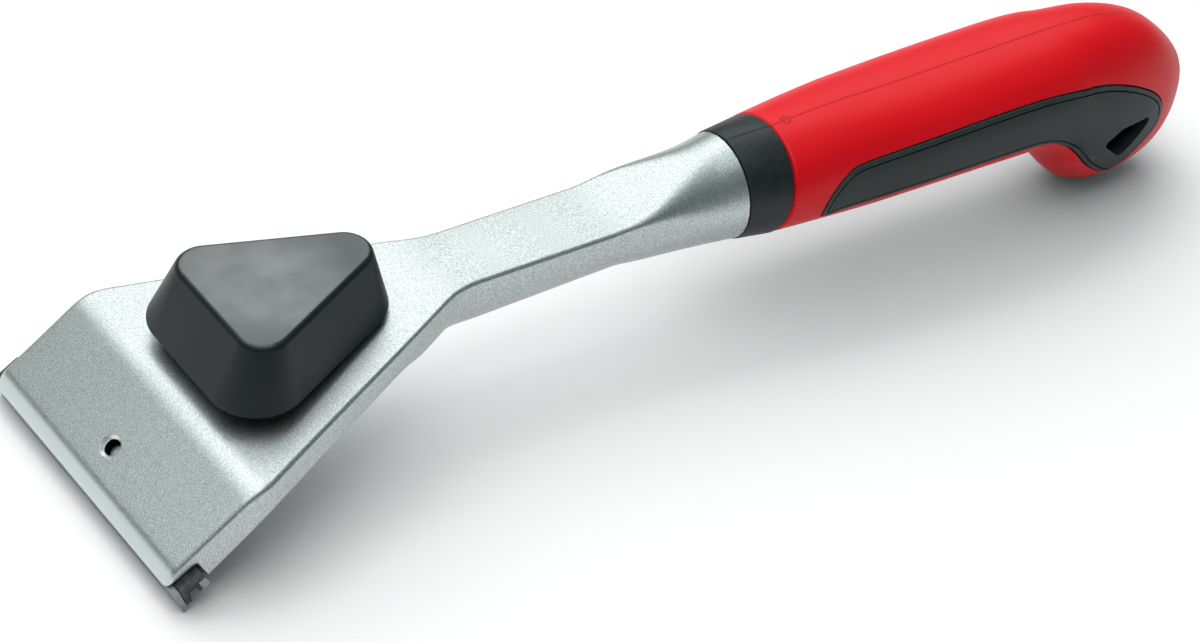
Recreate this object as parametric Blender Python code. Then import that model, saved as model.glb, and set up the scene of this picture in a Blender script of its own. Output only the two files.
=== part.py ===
"""Two-handed paint scraper: a die-cast head and neck that carries a carbide-edged blade on its
slanted front, a triangular front knob, and a two-colour moulded grip that ends in a hook.

The tool lies as it rests on a bench, on its cutting edge and on the underside of the hook.
X runs from the blade to the end of the grip, Y across the blade, Z up, all in metres.
The origin is on the bench, below the middle of the tool.
"""

import math

import bmesh
import bpy
from mathutils import Vector

# Fits and cuts
GAP = 0.0003
BRAZE_GAP = 0.00015
OVERRUN = 0.004

# Whole tool
OVERALL_LENGTH = 0.2573
GRIP_LENGTH = 0.1098
GRIP_HEIGHT = 0.0408

# Blade: a steel bar with a channel below and a carbide strip along each long edge
BLADE_WIDTH = 0.065
BLADE_DEPTH = 0.0063
BLADE_FRONT_HEIGHT = 0.005
BLADE_REAR_HEIGHT = 0.0037
BLADE_SPLAY = 0.0008
BLADE_EDGE_BEVEL = 0.0004
FRONT_STRIP_THICKNESS = 0.0011
REAR_STRIP_THICKNESS = 0.0016
REAR_STRIP_HEIGHT = 0.0022
CHANNEL_ROOF = 0.002
CHANNEL_WIDTH = 0.0014
CHANNEL_FRONT_LEG = 0.0012
BLADE_FRONT_LEG_RISE = 0.0004

# Slanted seat that the blade is clamped to, and the apron above it
SEAT_ANGLE = math.radians(35.5)
SEAT_INSET = 0.0003
SKIRT_DEPTH = 0.0036
APRON_ANGLE = math.radians(38.5)
TOE_HEIGHT = 0.0006
RIDGE_X = 0.0011
RIDGE_Z = 0.0084
BEND_X = 0.0166

# Head, neck and flare of the casting
HEAD_WIDTH = 0.063
HEAD_FRONT_WIDTH = 0.0628
HEAD_THICKNESS = 0.0062
HEAD_CORNER_RADIUS = 0.001
HEAD_SIDE_DRAFT = 0.14
HEAD_EDGE_RADIUS = 0.0007
HEAD_SHOULDER_X = 0.0195
HEAD_SHOULDER_RADIUS = 0.012
FAN_ANGLE = math.radians(10.6)
RIDGE_RADIUS = 0.0025
BEND_RADIUS = 0.011
NECK_EDGE_RADIUS = 0.003
UNDER_EDGE_RADIUS = 0.0009
NECK_X = 0.0705
NECK_WIDTH = 0.016
NECK_PLAN_OFFSET = 0.0035
NECK_DEPTH = 0.0134
NECK_REAR_DEPTH = 0.0122
NECK_ANGLE = math.radians(0.9)
NECK_UNDER_RADIUS = 0.0076
NECK_BLEND_RADIUS = 0.022
NECK_UNDER_BLEND = 0.012
NECK_UNDER_LEAD = 0.009
FLARE_LENGTH = 0.027
FLARE_RADIUS = 0.04

# Shoulder that stops the collar, and the tang inside the grip
COLLAR_LENGTH = 0.0083
COLLAR_Z = 0.0275
COLLAR_FRONT_WIDTH = 0.0212
COLLAR_FRONT_HEIGHT = 0.0222
COLLAR_REAR_WIDTH = 0.0246
COLLAR_REAR_HEIGHT = 0.0223
COLLAR_EDGE = 0.0004
COLLAR_FRONT_LEAN_SHARE = -0.05
COLLAR_REAR_LEAN_SHARE = 0.15
SHOULDER_STEP = 0.0003
NOSE_WIDTH = 0.0172
NOSE_HEIGHT = 0.0162
TANG_WIDTH = 0.0116
TANG_HEIGHT = 0.0094
TANG_EDGE_RADIUS = 0.0018
TANG_LENGTH = 0.07
TANG_TIP_SHARE = 0.8

# Grip outlines, as shares of its length and height, and of half its width
GRIP_WIDTH = 0.0286
GRIP_EDGE_RADIUS = 0.0008
SKIN_THICKNESS = 0.0026
GRIP_SIDE_SHARES = (
    (0.000, 0.946), (0.136, 0.968), (0.300, 0.974), (0.543, 0.995), (0.661, 1.000), (0.763, 0.982),
    (0.868, 0.876), (0.951, 0.662), (0.985, 0.450), (0.975, 0.280), (0.930, 0.120), (0.862, 0.023),
    (0.788, 0.000), (0.720, 0.054), (0.672, 0.178), (0.641, 0.321), (0.589, 0.405), (0.498, 0.422),
    (0.317, 0.425), (0.136, 0.410), (0.000, 0.408),
)
GRIP_PLAN_SHARES = (
    (0.000, 0.875), (0.136, 0.925), (0.300, 0.985), (0.420, 1.000), (0.550, 1.000), (0.680, 0.980),
    (0.800, 0.900), (0.890, 0.735), (0.945, 0.510), (0.985, 0.250), (1.000, 0.050),
)
GRIP_FRONT_SHARE = 0.2
GRIP_SQUARENESS = 0.35
HOOK_PINCH = 0.25
BEAK_START_SHARE = 0.56
HOOK_SHARE = 0.75
TIP_SHARE = 0.0005

# Side panels in the windows of the skin, outlines as shares of the grip's length and height
PANEL_PROUD = 0.0002
PANEL_ROOT_SHARE = 0.25
PANEL_OUTLINE_SHARES = (
    (0.080, 0.548), (0.072, 0.625), (0.082, 0.705), (0.108, 0.778), (0.150, 0.820), (0.300, 0.845),
    (0.470, 0.862), (0.590, 0.858), (0.690, 0.818), (0.770, 0.750), (0.840, 0.645), (0.880, 0.530),
    (0.882, 0.405), (0.845, 0.300), (0.815, 0.205), (0.792, 0.155), (0.758, 0.195), (0.708, 0.305),
    (0.648, 0.470), (0.570, 0.575), (0.460, 0.590), (0.280, 0.580), (0.130, 0.562),
)
HANG_HOLE_RADIUS = 0.0012
HANG_HOLE_SHARES = ((0.724, 0.442), (0.768, 0.508), (0.856, 0.502), (0.785, 0.300))

# Clamp plate, its screw and its washer
CLAMP_WIDTH = 0.056
CLAMP_THICKNESS = 0.0018
CLAMP_LIP = 0.0008
CLAMP_LENGTH = 0.0172
CLAMP_HEEL = 0.002
CLAMP_EDGE_BEVEL = 0.0004
CLAMP_SCREW_U = 0.0088
CLAMP_SCREW_RADIUS = 0.0017
CLAMP_SCREW_SINK = 0.0024
CLAMP_HEAD_RADIUS = 0.0033
CLAMP_HEAD_HEIGHT = 0.0019
CLAMP_WASHER_RADIUS = 0.0036
CLAMP_WASHER_THICKNESS = 0.0006
TAPPED_CHAMFER = 0.0003

# Front knob: a rounded triangle that narrows upward, one corner toward the grip
KNOB_X = 0.0352
KNOB_Z = 0.0271
KNOB_TILT = 0.11
KNOB_HEIGHT = 0.0127
KNOB_FRONT_REACH = 0.0066
KNOB_HALF_SPREAD = 0.0099
KNOB_REAR_REACH = 0.0165
KNOB_BASE_CORNER_RADIUS = 0.0097
KNOB_TOP_CORNER_RADIUS = 0.0052
KNOB_TOP_SHIFT = 0.0015
KNOB_TOP_EDGE = 0.0014
KNOB_FOOT_EDGE = 0.0006
KNOB_WALL = 0.0022
KNOB_ROOF = 0.0026
KNOB_BOSS_RADIUS = 0.0062
KNOB_RIB_THICKNESS = 0.0016

# Knob seat on the casting, the threaded insert and the screw from below
PEDESTAL_RADIUS = 0.0085
PEDESTAL_RISE = 0.0007
INSERT_RADIUS = 0.004
INSERT_LENGTH = 0.008
KNOB_SCREW_RADIUS = 0.003
KNOB_SCREW_HEAD_RADIUS = 0.005
KNOB_SCREW_HEAD_HEIGHT = 0.003
KNOB_WASHER_RADIUS = 0.0052
KNOB_WASHER_THICKNESS = 0.0012
SOCKET_SHARE = 0.45
SOCKET_DEPTH_SHARE = 0.6
SOCKET_SIDES = 6
SCREW_DOME_SHARE = 0.25
SCREW_POINT_SHARE = 0.2

# Coring under the head: cells between the rim, the middle rib and the cross rib
CORE_RIM = 0.0036
CORE_ROOF = 0.0028
CORE_RIB = 0.003
CORE_BOSS_RADIUS = 0.0078
CORE_FRONT_X = 0.0255
CORE_REAR_X = 0.0585
CORE_CORNER_RADIUS = 0.002

# Facets
CORNER_STEPS = 4
FILLET_STEPS = 5
CIRCLE_STEPS = 32
GRIP_RING_STEPS = 28
CURVE_STEPS = 8
PANEL_CURVE_STEPS = 3
SHAFT_STEPS = 8
BEAK_STEPS = 10
END_STEPS = 10
LAST_RING_SHARE = 0.7
SAME_POINT = 0.0000001
NEARLY_STRAIGHT = 0.0001
MITRE_LIMIT_SHARE = 0.5
SHARP_ANGLE = math.radians(30)

# Places that follow from the sizes above
GRIP_X = OVERALL_LENGTH - GRIP_LENGTH
COLLAR_X = GRIP_X - GAP - COLLAR_LENGTH
SHOULDER_X = COLLAR_X - GAP
SEAT_Z = BLADE_FRONT_HEIGHT * math.cos(SEAT_ANGLE) + BLADE_SPLAY * math.sin(SEAT_ANGLE)
LIP_TOP = -CHANNEL_ROOF - GAP
PLATE_TOP = -BLADE_REAR_HEIGHT - BLADE_EDGE_BEVEL - GAP


def clear_scene():
    for item in list(bpy.data.objects):
        bpy.data.objects.remove(item)


def material(name, colour, roughness, metallic):
    made = bpy.data.materials.new(name)
    made.use_nodes = True
    shader = made.node_tree.nodes["Principled BSDF"]
    shader.inputs["Base Color"].default_value = (*colour, 1)
    shader.inputs["Roughness"].default_value = roughness
    shader.inputs["Metallic"].default_value = metallic
    return made


def cast_aluminium():
    return material("cast_aluminium", (0.52, 0.56, 0.55), 0.38, 1)


def blackened_steel():
    return material("blackened_steel", (0.03, 0.03, 0.03), 0.45, 0.8)


def carbide():
    return material("carbide", (0.28, 0.31, 0.31), 0.35, 1)


def zinc_steel():
    return material("zinc_steel", (0.6, 0.6, 0.58), 0.3, 1)


def brass():
    return material("brass", (0.7, 0.52, 0.22), 0.35, 1)


def knob_plastic():
    return material("knob_plastic", (0.02, 0.024, 0.026), 0.38, 0)


def collar_plastic():
    return material("collar_plastic", (0.02, 0.022, 0.024), 0.45, 0)


def core_plastic():
    return material("core_plastic", (0.025, 0.025, 0.025), 0.5, 0)


def skin_plastic():
    return material("skin_plastic", (0.75, 0.004, 0.012), 0.35, 0)


def panel_rubber():
    return material("panel_rubber", (0.03, 0.038, 0.036), 0.55, 0)


def frame(name, location, angle=0.0, parent=None):
    """An empty that carries pieces: angle lifts its X axis from the horizontal."""
    made = bpy.data.objects.new(name, None)
    made.location = location
    made.rotation_euler = (0, -angle, 0)
    made.parent = parent
    bpy.context.scene.collection.objects.link(made)
    return made


def loft(rings, wrapped=False):
    """A mesh skinned over rings of points: capped at both ends, or wrapped from last to first."""
    shape = bmesh.new()
    loops = [[shape.verts.new(point) for point in ring] for ring in rings]
    count = len(rings[0])
    pairs = list(zip(loops, loops[1:]))
    if wrapped:
        pairs.append((loops[-1], loops[0]))
    else:
        shape.faces.new(loops[0])
        shape.faces.new(loops[-1])
    for near, far in pairs:
        for i in range(count):
            j = (i + 1) % count
            shape.faces.new((near[i], near[j], far[j], far[i]))
    bmesh.ops.remove_doubles(shape, verts=shape.verts, dist=SAME_POINT)
    bmesh.ops.recalc_face_normals(shape, faces=shape.faces)
    mesh = bpy.data.meshes.new("loft")
    shape.to_mesh(mesh)
    shape.free()
    return mesh


def piece(name, mesh, finish, parent):
    """A finished piece of the tool, shaded smooth but for its sharp edges."""
    mesh.name = name
    mesh.materials.append(finish)
    mesh.shade_smooth()
    mesh.set_sharp_from_angle(angle=SHARP_ANGLE)
    made = bpy.data.objects.new(name, mesh)
    made.parent = parent
    bpy.context.scene.collection.objects.link(made)
    return made


def cutter(name, mesh, parent):
    made = bpy.data.objects.new(name, mesh)
    made.parent = parent
    made.hide_render = True
    made.display_type = "WIRE"
    bpy.context.scene.collection.objects.link(made)
    return made


def combine(target, other, operation="DIFFERENCE"):
    change = target.modifiers.new(operation.lower(), "BOOLEAN")
    change.operation = operation
    change.object = other
    change.solver = "EXACT"


def prism(outline, width):
    """An XZ outline drawn out across Y, centred on the middle plane."""
    return loft([[(x, side * width / 2, z) for x, z in outline] for side in (-1, 1)])


def turned(profile, steps=CIRCLE_STEPS):
    """A solid turned about Z from (radius, height) pairs that start and end on flat discs."""
    angles = [2 * math.pi * i / steps for i in range(steps)]
    return loft([[(r * math.cos(a), r * math.sin(a), z) for a in angles] for r, z in profile])


def tube(outer, inner, low, high, steps=CIRCLE_STEPS):
    """A plain ring about Z."""
    angles = [2 * math.pi * i / steps for i in range(steps)]
    corners = ((outer, low), (outer, high), (inner, high), (inner, low))
    rings = [[(r * math.cos(a), r * math.sin(a), z) for a in angles] for r, z in corners]
    return loft(rings, wrapped=True)


def box(x_span, y_span, z_span):
    rings = [[(x, y_span[0], z_span[0]), (x, y_span[1], z_span[0]),
              (x, y_span[1], z_span[1]), (x, y_span[0], z_span[1])] for x in x_span]
    return loft(rings)


def rounded_corner(before, corner, after, radius):
    """The points of an arc that rounds one corner of an outline."""
    start = (Vector(before) - Vector(corner)).normalized()
    finish = (Vector(after) - Vector(corner)).normalized()
    half = math.acos(max(-1, min(1, start.dot(finish)))) / 2
    if radius <= 0 or half > math.pi / 2 - NEARLY_STRAIGHT:
        return [tuple(corner)]
    reach = radius / math.tan(half)
    limit = min((Vector(before) - Vector(corner)).length, (Vector(after) - Vector(corner)).length) / 2
    reach = min(reach, limit)
    radius = reach * math.tan(half)
    middle = Vector(corner) + (start + finish).normalized() * (radius / math.sin(half))
    first = Vector(corner) + start * reach - middle
    last = Vector(corner) + finish * reach - middle
    turn = math.atan2(first.x * last.y - first.y * last.x, first.dot(last))
    points = []
    for i in range(FILLET_STEPS + 1):
        angle = turn * i / FILLET_STEPS
        cos, sin = math.cos(angle), math.sin(angle)
        points.append((middle.x + first.x * cos - first.y * sin,
                       middle.y + first.x * sin + first.y * cos))
    return points


def rounded_path(corners):
    """An open path through (x, z, radius) corners."""
    points = [corners[0][:2]]
    for before, corner, after in zip(corners, corners[1:], corners[2:]):
        points += rounded_corner(before[:2], corner[:2], after[:2], corner[2])
    return points + [corners[-1][:2]]


def rounded_outline(corners):
    """A closed outline through (x, z, radius) corners."""
    points = []
    for i, corner in enumerate(corners):
        before, after = corners[i - 1], corners[(i + 1) % len(corners)]
        points += rounded_corner(before[:2], corner[:2], after[:2], corner[2])
    return points


def inset(outline, distance):
    """A closed outline moved inward, or outward where the distance is below zero."""
    area = sum(a[0] * b[1] - b[0] * a[1] for a, b in zip(outline, outline[1:] + outline[:1]))
    side = 1 if area > 0 else -1
    moved = []
    for i, point in enumerate(outline):
        before, after = Vector(outline[i - 1]), Vector(outline[(i + 1) % len(outline)])
        into = (Vector(point) - before).normalized()
        away = (after - Vector(point)).normalized()
        normal = Vector((-into.y - away.y, into.x + away.x)).normalized() * side
        spread = max(MITRE_LIMIT_SHARE, math.cos(into.angle(away) / 2))
        moved.append(tuple(Vector(point) + normal * distance / spread))
    return moved


def curve_through(points, steps, closed=False):
    """A smooth curve through points, with evenly spaced steps between each two."""
    curve = []
    last = len(points) - 1
    for i in range(last + 1 if closed else last):
        a, b = Vector(points[i]), Vector(points[(i + 1) % len(points)])
        before = Vector(points[i - 1]) if i or closed else a * 2 - b
        after = Vector(points[(i + 2) % len(points)]) if i + 2 <= last or closed else b * 2 - a
        for step in range(steps):
            t = step / steps
            bend = (b - before) * t + (before * 2 - a * 5 + b * 4 - after) * t ** 2
            curve.append(tuple(a + (bend + (a * 3 - before - b * 3 + after) * t ** 3) / 2))
    return curve if closed else curve + [tuple(points[-1])]


def height_at(path, x):
    """The height of an open path at one x."""
    for (x0, z0), (x1, z1) in zip(path, path[1:]):
        if x0 <= x <= x1 and x1 > x0:
            return z0 + (z1 - z0) * (x - x0) / (x1 - x0)
    return path[0][1] if x < path[0][0] else path[-1][1]


def span_at(outline, x):
    """The lowest and highest height of a closed outline at one x."""
    first, last = min(p[0] for p in outline), max(p[0] for p in outline)
    inside = min(max(x, first), last)
    heights = []
    for (x0, z0), (x1, z1) in zip(outline, outline[1:] + outline[:1]):
        if min(x0, x1) <= inside <= max(x0, x1):
            share = (inside - x0) / (x1 - x0) if x1 != x0 else 0
            heights.append(z0 + (z1 - z0) * share)
    return min(heights), max(heights)


def seat_point(along, out):
    """World XZ of a point given along the slanted seat and out from it."""
    cos, sin = math.cos(SEAT_ANGLE), math.sin(SEAT_ANGLE)
    return SEAT_INSET + along * cos - out * sin, SEAT_Z + along * sin + out * cos


def meet(point, angle, x):
    """The height at x of a line through a point at an angle."""
    return point[1] + (x - point[0]) * math.tan(angle)


def corner_section(x, half_width, low, high, top_radius, under_radius, lean=0.0, draft=0.0):
    """A ring across the casting: a box with rounded corners, narrower upward with draft."""
    height = high - low
    fit = min(1, height / (top_radius + under_radius))
    middle = (low + high) / 2
    ring = []
    corners = ((1, high, top_radius, 0), (-1, high, top_radius, 1),
               (-1, low, under_radius, 2), (1, low, under_radius, 3))
    for side, level, radius, quarter in corners:
        across = min(radius, half_width)
        upright = radius * fit
        for i in range(CORNER_STEPS + 1):
            angle = math.pi / 2 * (quarter + i / CORNER_STEPS)
            y = side * (half_width - across) + across * math.cos(angle)
            z = level - math.copysign(upright, level - middle) + upright * math.sin(angle)
            narrowing = 1 - draft * (z - low) / half_width
            ring.append((x + lean * (z - middle), y * narrowing, z))
    return ring


def oval_section(x, half_width, low, high, squareness=0.0, lean=0.0, pinch=0.0):
    """A ring across the grip: an ellipse, squarer with squareness, narrowed below with pinch."""
    middle = (low + high) / 2
    power = 2 / (2 + squareness)
    ring = []
    for i in range(GRIP_RING_STEPS):
        angle = 2 * math.pi * i / GRIP_RING_STEPS
        cos, sin = math.cos(angle), math.sin(angle)
        y = half_width * math.copysign(abs(cos) ** power, cos) * (1 - pinch * min(0, sin) ** 2)
        z = middle + (high - low) / 2 * math.copysign(abs(sin) ** power, sin)
        ring.append((x + lean * (z - COLLAR_Z), y, z))
    return ring


def casting_paths():
    """The casting's top, underside and half width along X."""
    ridge = (RIDGE_X, RIDGE_Z)
    bend = (BEND_X, meet(ridge, APRON_ANGLE, BEND_X))
    seat_foot = (0, meet(seat_point(0, GAP), SEAT_ANGLE, 0))
    neck_z = meet(bend, FAN_ANGLE, NECK_X)
    flare_x = SHOULDER_X - FLARE_LENGTH
    flare_z = meet((NECK_X, neck_z), NECK_ANGLE, flare_x)
    end_height = COLLAR_FRONT_HEIGHT / 2 - SHOULDER_STEP
    top = rounded_path([
        (0, seat_foot[1] + TOE_HEIGHT, 0), (*ridge, RIDGE_RADIUS), (*bend, BEND_RADIUS),
        (NECK_X, neck_z, FLARE_RADIUS), (flare_x, flare_z, FLARE_RADIUS),
        (SHOULDER_X, COLLAR_Z + end_height, 0)])
    behind_blade = BLADE_DEPTH + GAP
    skirt = seat_point(behind_blade, -SKIRT_DEPTH)
    under_bend_x = BEND_X + HEAD_THICKNESS * math.sin((APRON_ANGLE + FAN_ANGLE) / 2)
    under_neck_x = NECK_X - NECK_UNDER_LEAD
    under = rounded_path([
        (*seat_foot, 0), (*seat_point(behind_blade, GAP), 0), (*skirt, 0),
        (under_bend_x, meet(bend, FAN_ANGLE, under_bend_x) - HEAD_THICKNESS, BEND_RADIUS),
        (under_neck_x, meet(bend, FAN_ANGLE, under_neck_x) - HEAD_THICKNESS, FLARE_RADIUS),
        (under_neck_x + NECK_UNDER_BLEND, neck_z - NECK_DEPTH, FLARE_RADIUS),
        (flare_x, flare_z - NECK_REAR_DEPTH, FLARE_RADIUS), (SHOULDER_X, COLLAR_Z - end_height, 0)])
    plan = rounded_path([
        (0, HEAD_FRONT_WIDTH / 2 - HEAD_CORNER_RADIUS * 2, 0),
        (0, HEAD_FRONT_WIDTH / 2, HEAD_CORNER_RADIUS),
        (HEAD_SHOULDER_X, HEAD_WIDTH / 2, HEAD_SHOULDER_RADIUS),
        (NECK_X + NECK_PLAN_OFFSET, NECK_WIDTH / 2, NECK_BLEND_RADIUS),
        (flare_x, NECK_WIDTH / 2, FLARE_RADIUS),
        (SHOULDER_X, COLLAR_FRONT_WIDTH / 2 - SHOULDER_STEP, 0)])
    return top, under, plan


def stations_of(paths, closest):
    """The places along X where any path bends, at least a small step apart."""
    places = sorted({point[0] for path in paths for point in path})
    kept = [places[0]]
    for place in places[1:]:
        if place - kept[-1] > closest:
            kept.append(place)
    kept[-1] = places[-1]
    return kept


def share_between(x, start, finish):
    """How far x lies between two places, from 0 to 1, easing in and out."""
    t = min(1, max(0, (x - start) / (finish - start)))
    return t * t * (3 - 2 * t)


def casting_rings():
    """Rings along the head, neck and flare: drafted sides and crisp edges ease out at the neck."""
    top, under, plan = casting_paths()
    flare_x = SHOULDER_X - FLARE_LENGTH
    under_neck_x = NECK_X - NECK_UNDER_LEAD
    rings = []
    for x in stations_of((top, under, plan), GAP):
        flare = share_between(x, flare_x, SHOULDER_X)
        neck = share_between(x, under_neck_x, under_neck_x + NECK_UNDER_BLEND)
        full = COLLAR_FRONT_WIDTH / 2
        slender = share_between(x, HEAD_SHOULDER_X, NECK_X)
        above = HEAD_EDGE_RADIUS + (NECK_EDGE_RADIUS - HEAD_EDGE_RADIUS) * slender
        above += (full - NECK_EDGE_RADIUS) * flare
        below = UNDER_EDGE_RADIUS + (NECK_UNDER_RADIUS - UNDER_EDGE_RADIUS) * neck
        below += (full - NECK_UNDER_RADIUS) * flare
        rings.append(corner_section(x, height_at(plan, x), height_at(under, x), height_at(top, x),
                                    above, below, COLLAR_FRONT_LEAN_SHARE * flare,
                                    HEAD_SIDE_DRAFT * (1 - slender)))
    return rings


def tang_rings(clearance=0.0):
    """Rings along the tang, from the shoulder to its tapered tip."""
    rings = []
    reach = SHOULDER_X - clearance * 2, SHOULDER_X + TANG_LENGTH + clearance
    for x, share in zip(reach, (1, TANG_TIP_SHARE)):
        half_width = TANG_WIDTH / 2 * share + clearance
        half_height = TANG_HEIGHT / 2 * share + clearance
        rings.append(corner_section(x, half_width, COLLAR_Z - half_height, COLLAR_Z + half_height,
                                    TANG_EDGE_RADIUS, TANG_EDGE_RADIUS))
    return rings


def coring_cell(front, rear, side):
    """One pocket under the head, its outline set in from the head's edge."""
    top, under, plan = casting_paths()
    inner = CORE_RIB / 2
    corners = ((front, inner), (rear, inner), (rear, height_at(plan, rear) - CORE_RIM),
               (front, height_at(plan, front) - CORE_RIM))
    outline = rounded_outline([(x, y, CORE_CORNER_RADIUS) for x, y in corners])
    mouth = [(x, side * y, height_at(under, x) - OVERRUN) for x, y in outline]
    floor = [(x, side * y, height_at(top, x) - CORE_ROOF) for x, y in outline]
    return loft([mouth, floor])


def make_head(tool, seat, knob_frame):
    """The die casting: head, neck, flare and tang in one, with its coring, boss and holes."""
    tang = tang_rings()
    shoulder = [(x + COLLAR_FRONT_LEAN_SHARE * (z - COLLAR_Z), y, z) for x, y, z in tang[0]]
    rings = casting_rings() + [shoulder, tang[1]]
    head = piece("head_casting", loft(rings), cast_aluminium(), tool)
    cells = ((CORE_FRONT_X, KNOB_X - CORE_RIB / 2, "front"),
             (KNOB_X + CORE_RIB / 2, CORE_REAR_X, "rear"))
    for side, word in ((1, "far"), (-1, "near")):
        for front, rear, end in cells:
            combine(head, cutter(f"coring_{end}_{word}", coring_cell(front, rear, side), tool))
    low = knob_boss_low()
    boss = turned(((CORE_BOSS_RADIUS, low), (CORE_BOSS_RADIUS, -GAP)))
    combine(head, cutter("knob_boss", boss, knob_frame), "UNION")
    pedestal = turned(((PEDESTAL_RADIUS, low / 2), (PEDESTAL_RADIUS, PEDESTAL_RISE)))
    combine(head, cutter("pedestal", pedestal, knob_frame), "UNION")
    hole = KNOB_SCREW_RADIUS + GAP
    bore = turned(((hole, low - OVERRUN), (hole, PEDESTAL_RISE + OVERRUN)))
    combine(head, cutter("knob_bore", bore, knob_frame))
    rise = apron_rise()
    tapped = CLAMP_SCREW_RADIUS + GAP
    flared = tapped + TAPPED_CHAMFER
    profile = ((tapped, -SKIRT_DEPTH - OVERRUN), (tapped, rise - TAPPED_CHAMFER), (flared, rise),
               (flared, rise + OVERRUN))
    hole_frame = frame("tapped_hole_frame", (CLAMP_SCREW_U, 0, 0), 0, seat)
    combine(head, cutter("tapped_hole", turned(profile), hole_frame))


def apron_rise():
    """How far the apron stands above the seat at the clamp screw."""
    x, z = seat_point(CLAMP_SCREW_U, 0)
    drop = meet((RIDGE_X, RIDGE_Z), APRON_ANGLE, x) - z
    return drop * math.cos(APRON_ANGLE) / math.cos(APRON_ANGLE - SEAT_ANGLE)


def knob_boss_low():
    """The underside of the knob's boss along its axis, below the sloping underside around it."""
    _, under, _ = casting_paths()
    lows = []
    for reach in (-CORE_BOSS_RADIUS, CORE_BOSS_RADIUS):
        drop = height_at(under, KNOB_X + reach) - KNOB_Z
        lows.append(drop * math.cos(KNOB_TILT) - reach * math.sin(KNOB_TILT))
    return min(lows)


def make_blade(seat):
    splay_slope = BLADE_SPLAY / BLADE_FRONT_HEIGHT
    front_z = -BLADE_FRONT_HEIGHT
    strip = FRONT_STRIP_THICKNESS
    edge_front = [(0, 0), (-BLADE_SPLAY, front_z), (strip - BLADE_SPLAY, front_z + BLADE_EDGE_BEVEL),
                  (strip, 0)]
    piece("blade_edge_front", prism(edge_front, BLADE_WIDTH), carbide(), seat)
    rear_low = -BLADE_REAR_HEIGHT
    rear_top = rear_low + REAR_STRIP_HEIGHT
    inner = BLADE_DEPTH - REAR_STRIP_THICKNESS
    edge_rear = [(BLADE_DEPTH, rear_top), (inner, rear_top), (inner, rear_low - BLADE_EDGE_BEVEL),
                 (BLADE_DEPTH, rear_low)]
    piece("blade_edge_rear", prism(edge_rear, BLADE_WIDTH), carbide(), seat)
    leg_z = front_z + BLADE_EDGE_BEVEL + BLADE_FRONT_LEG_RISE
    back = strip + BRAZE_GAP
    channel = back + CHANNEL_FRONT_LEG
    body = [
        (back, 0), (back + leg_z * splay_slope, leg_z), (channel + leg_z * splay_slope, leg_z),
        (channel, -CHANNEL_ROOF), (channel + CHANNEL_WIDTH, -CHANNEL_ROOF),
        (channel + CHANNEL_WIDTH, rear_low), (inner - BRAZE_GAP, rear_low),
        (inner - BRAZE_GAP, rear_top + BRAZE_GAP), (BLADE_DEPTH, rear_top + BRAZE_GAP), (BLADE_DEPTH, 0)]
    piece("blade_body", prism(body, BLADE_WIDTH), blackened_steel(), seat)


def clamp_lip_u():
    """Where the lip of the clamp plate stands in the blade's channel."""
    channel = FRONT_STRIP_THICKNESS + BRAZE_GAP + CHANNEL_FRONT_LEG
    return channel + (CHANNEL_WIDTH - CLAMP_LIP) / 2


def make_clamp(seat):
    clamp = frame("clamp_frame", (CLAMP_SCREW_U, 0, 0), 0, seat)
    lip = clamp_lip_u() - CLAMP_SCREW_U
    rear = lip + CLAMP_LENGTH
    plate_low = PLATE_TOP - CLAMP_THICKNESS
    heel_top = -SKIRT_DEPTH - GAP
    bevel = CLAMP_EDGE_BEVEL
    profile = rounded_outline([
        (lip, LIP_TOP, bevel), (lip, plate_low, bevel * 2), (rear, plate_low, bevel * 2),
        (rear, heel_top, bevel), (rear - CLAMP_HEEL, heel_top, bevel),
        (rear - CLAMP_HEEL, PLATE_TOP, bevel), (lip + CLAMP_LIP, PLATE_TOP, 0),
        (lip + CLAMP_LIP, LIP_TOP, bevel)])
    plate = piece("clamp_plate", prism(profile, CLAMP_WIDTH), blackened_steel(), clamp)
    hole = CLAMP_SCREW_RADIUS + GAP
    bore = turned(((hole, plate_low - OVERRUN), (hole, PLATE_TOP + OVERRUN)))
    combine(plate, cutter("clamp_hole", bore, clamp))
    washer_top = plate_low - GAP
    washer_low = washer_top - CLAMP_WASHER_THICKNESS
    washer = tube(CLAMP_WASHER_RADIUS, CLAMP_SCREW_RADIUS + GAP, washer_low, washer_top)
    piece("clamp_washer", washer, zinc_steel(), clamp)
    head_top = washer_low - GAP
    tip = apron_rise() - CLAMP_SCREW_SINK
    screw_mesh = screw(CLAMP_SCREW_RADIUS, CLAMP_HEAD_RADIUS, CLAMP_HEAD_HEIGHT, head_top, tip)
    screw_piece = piece("clamp_screw", screw_mesh, zinc_steel(), clamp)
    drive(screw_piece, "clamp_screw_socket", CLAMP_HEAD_RADIUS, CLAMP_HEAD_HEIGHT, head_top, clamp)


def screw(radius, head_radius, head_height, head_top, tip):
    """A pan-head screw about Z, its head below and its tip up."""
    low = head_top - head_height
    dome = head_height * SCREW_DOME_SHARE
    point = radius * SCREW_POINT_SHARE
    return turned(((head_radius - dome * 2, low), (head_radius - dome, low + dome / 3),
                   (head_radius, low + dome), (head_radius, head_top), (radius, head_top),
                   (radius, tip - point), (radius - point, tip)))


def drive(target, name, head_radius, head_height, head_top, parent):
    """A six-sided socket in a screw's head."""
    across = head_radius * SOCKET_SHARE
    low = head_top - head_height
    depth = head_height * SOCKET_DEPTH_SHARE
    socket = turned(((across, low - OVERRUN), (across, low + depth)), SOCKET_SIDES)
    combine(target, cutter(name, socket, parent))


def knob_corners():
    """The centres of the knob's three corner circles, one toward the grip."""
    return (Vector((KNOB_REAR_REACH, 0)), Vector((-KNOB_FRONT_REACH, KNOB_HALF_SPREAD)),
            Vector((-KNOB_FRONT_REACH, -KNOB_HALF_SPREAD)))


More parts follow.
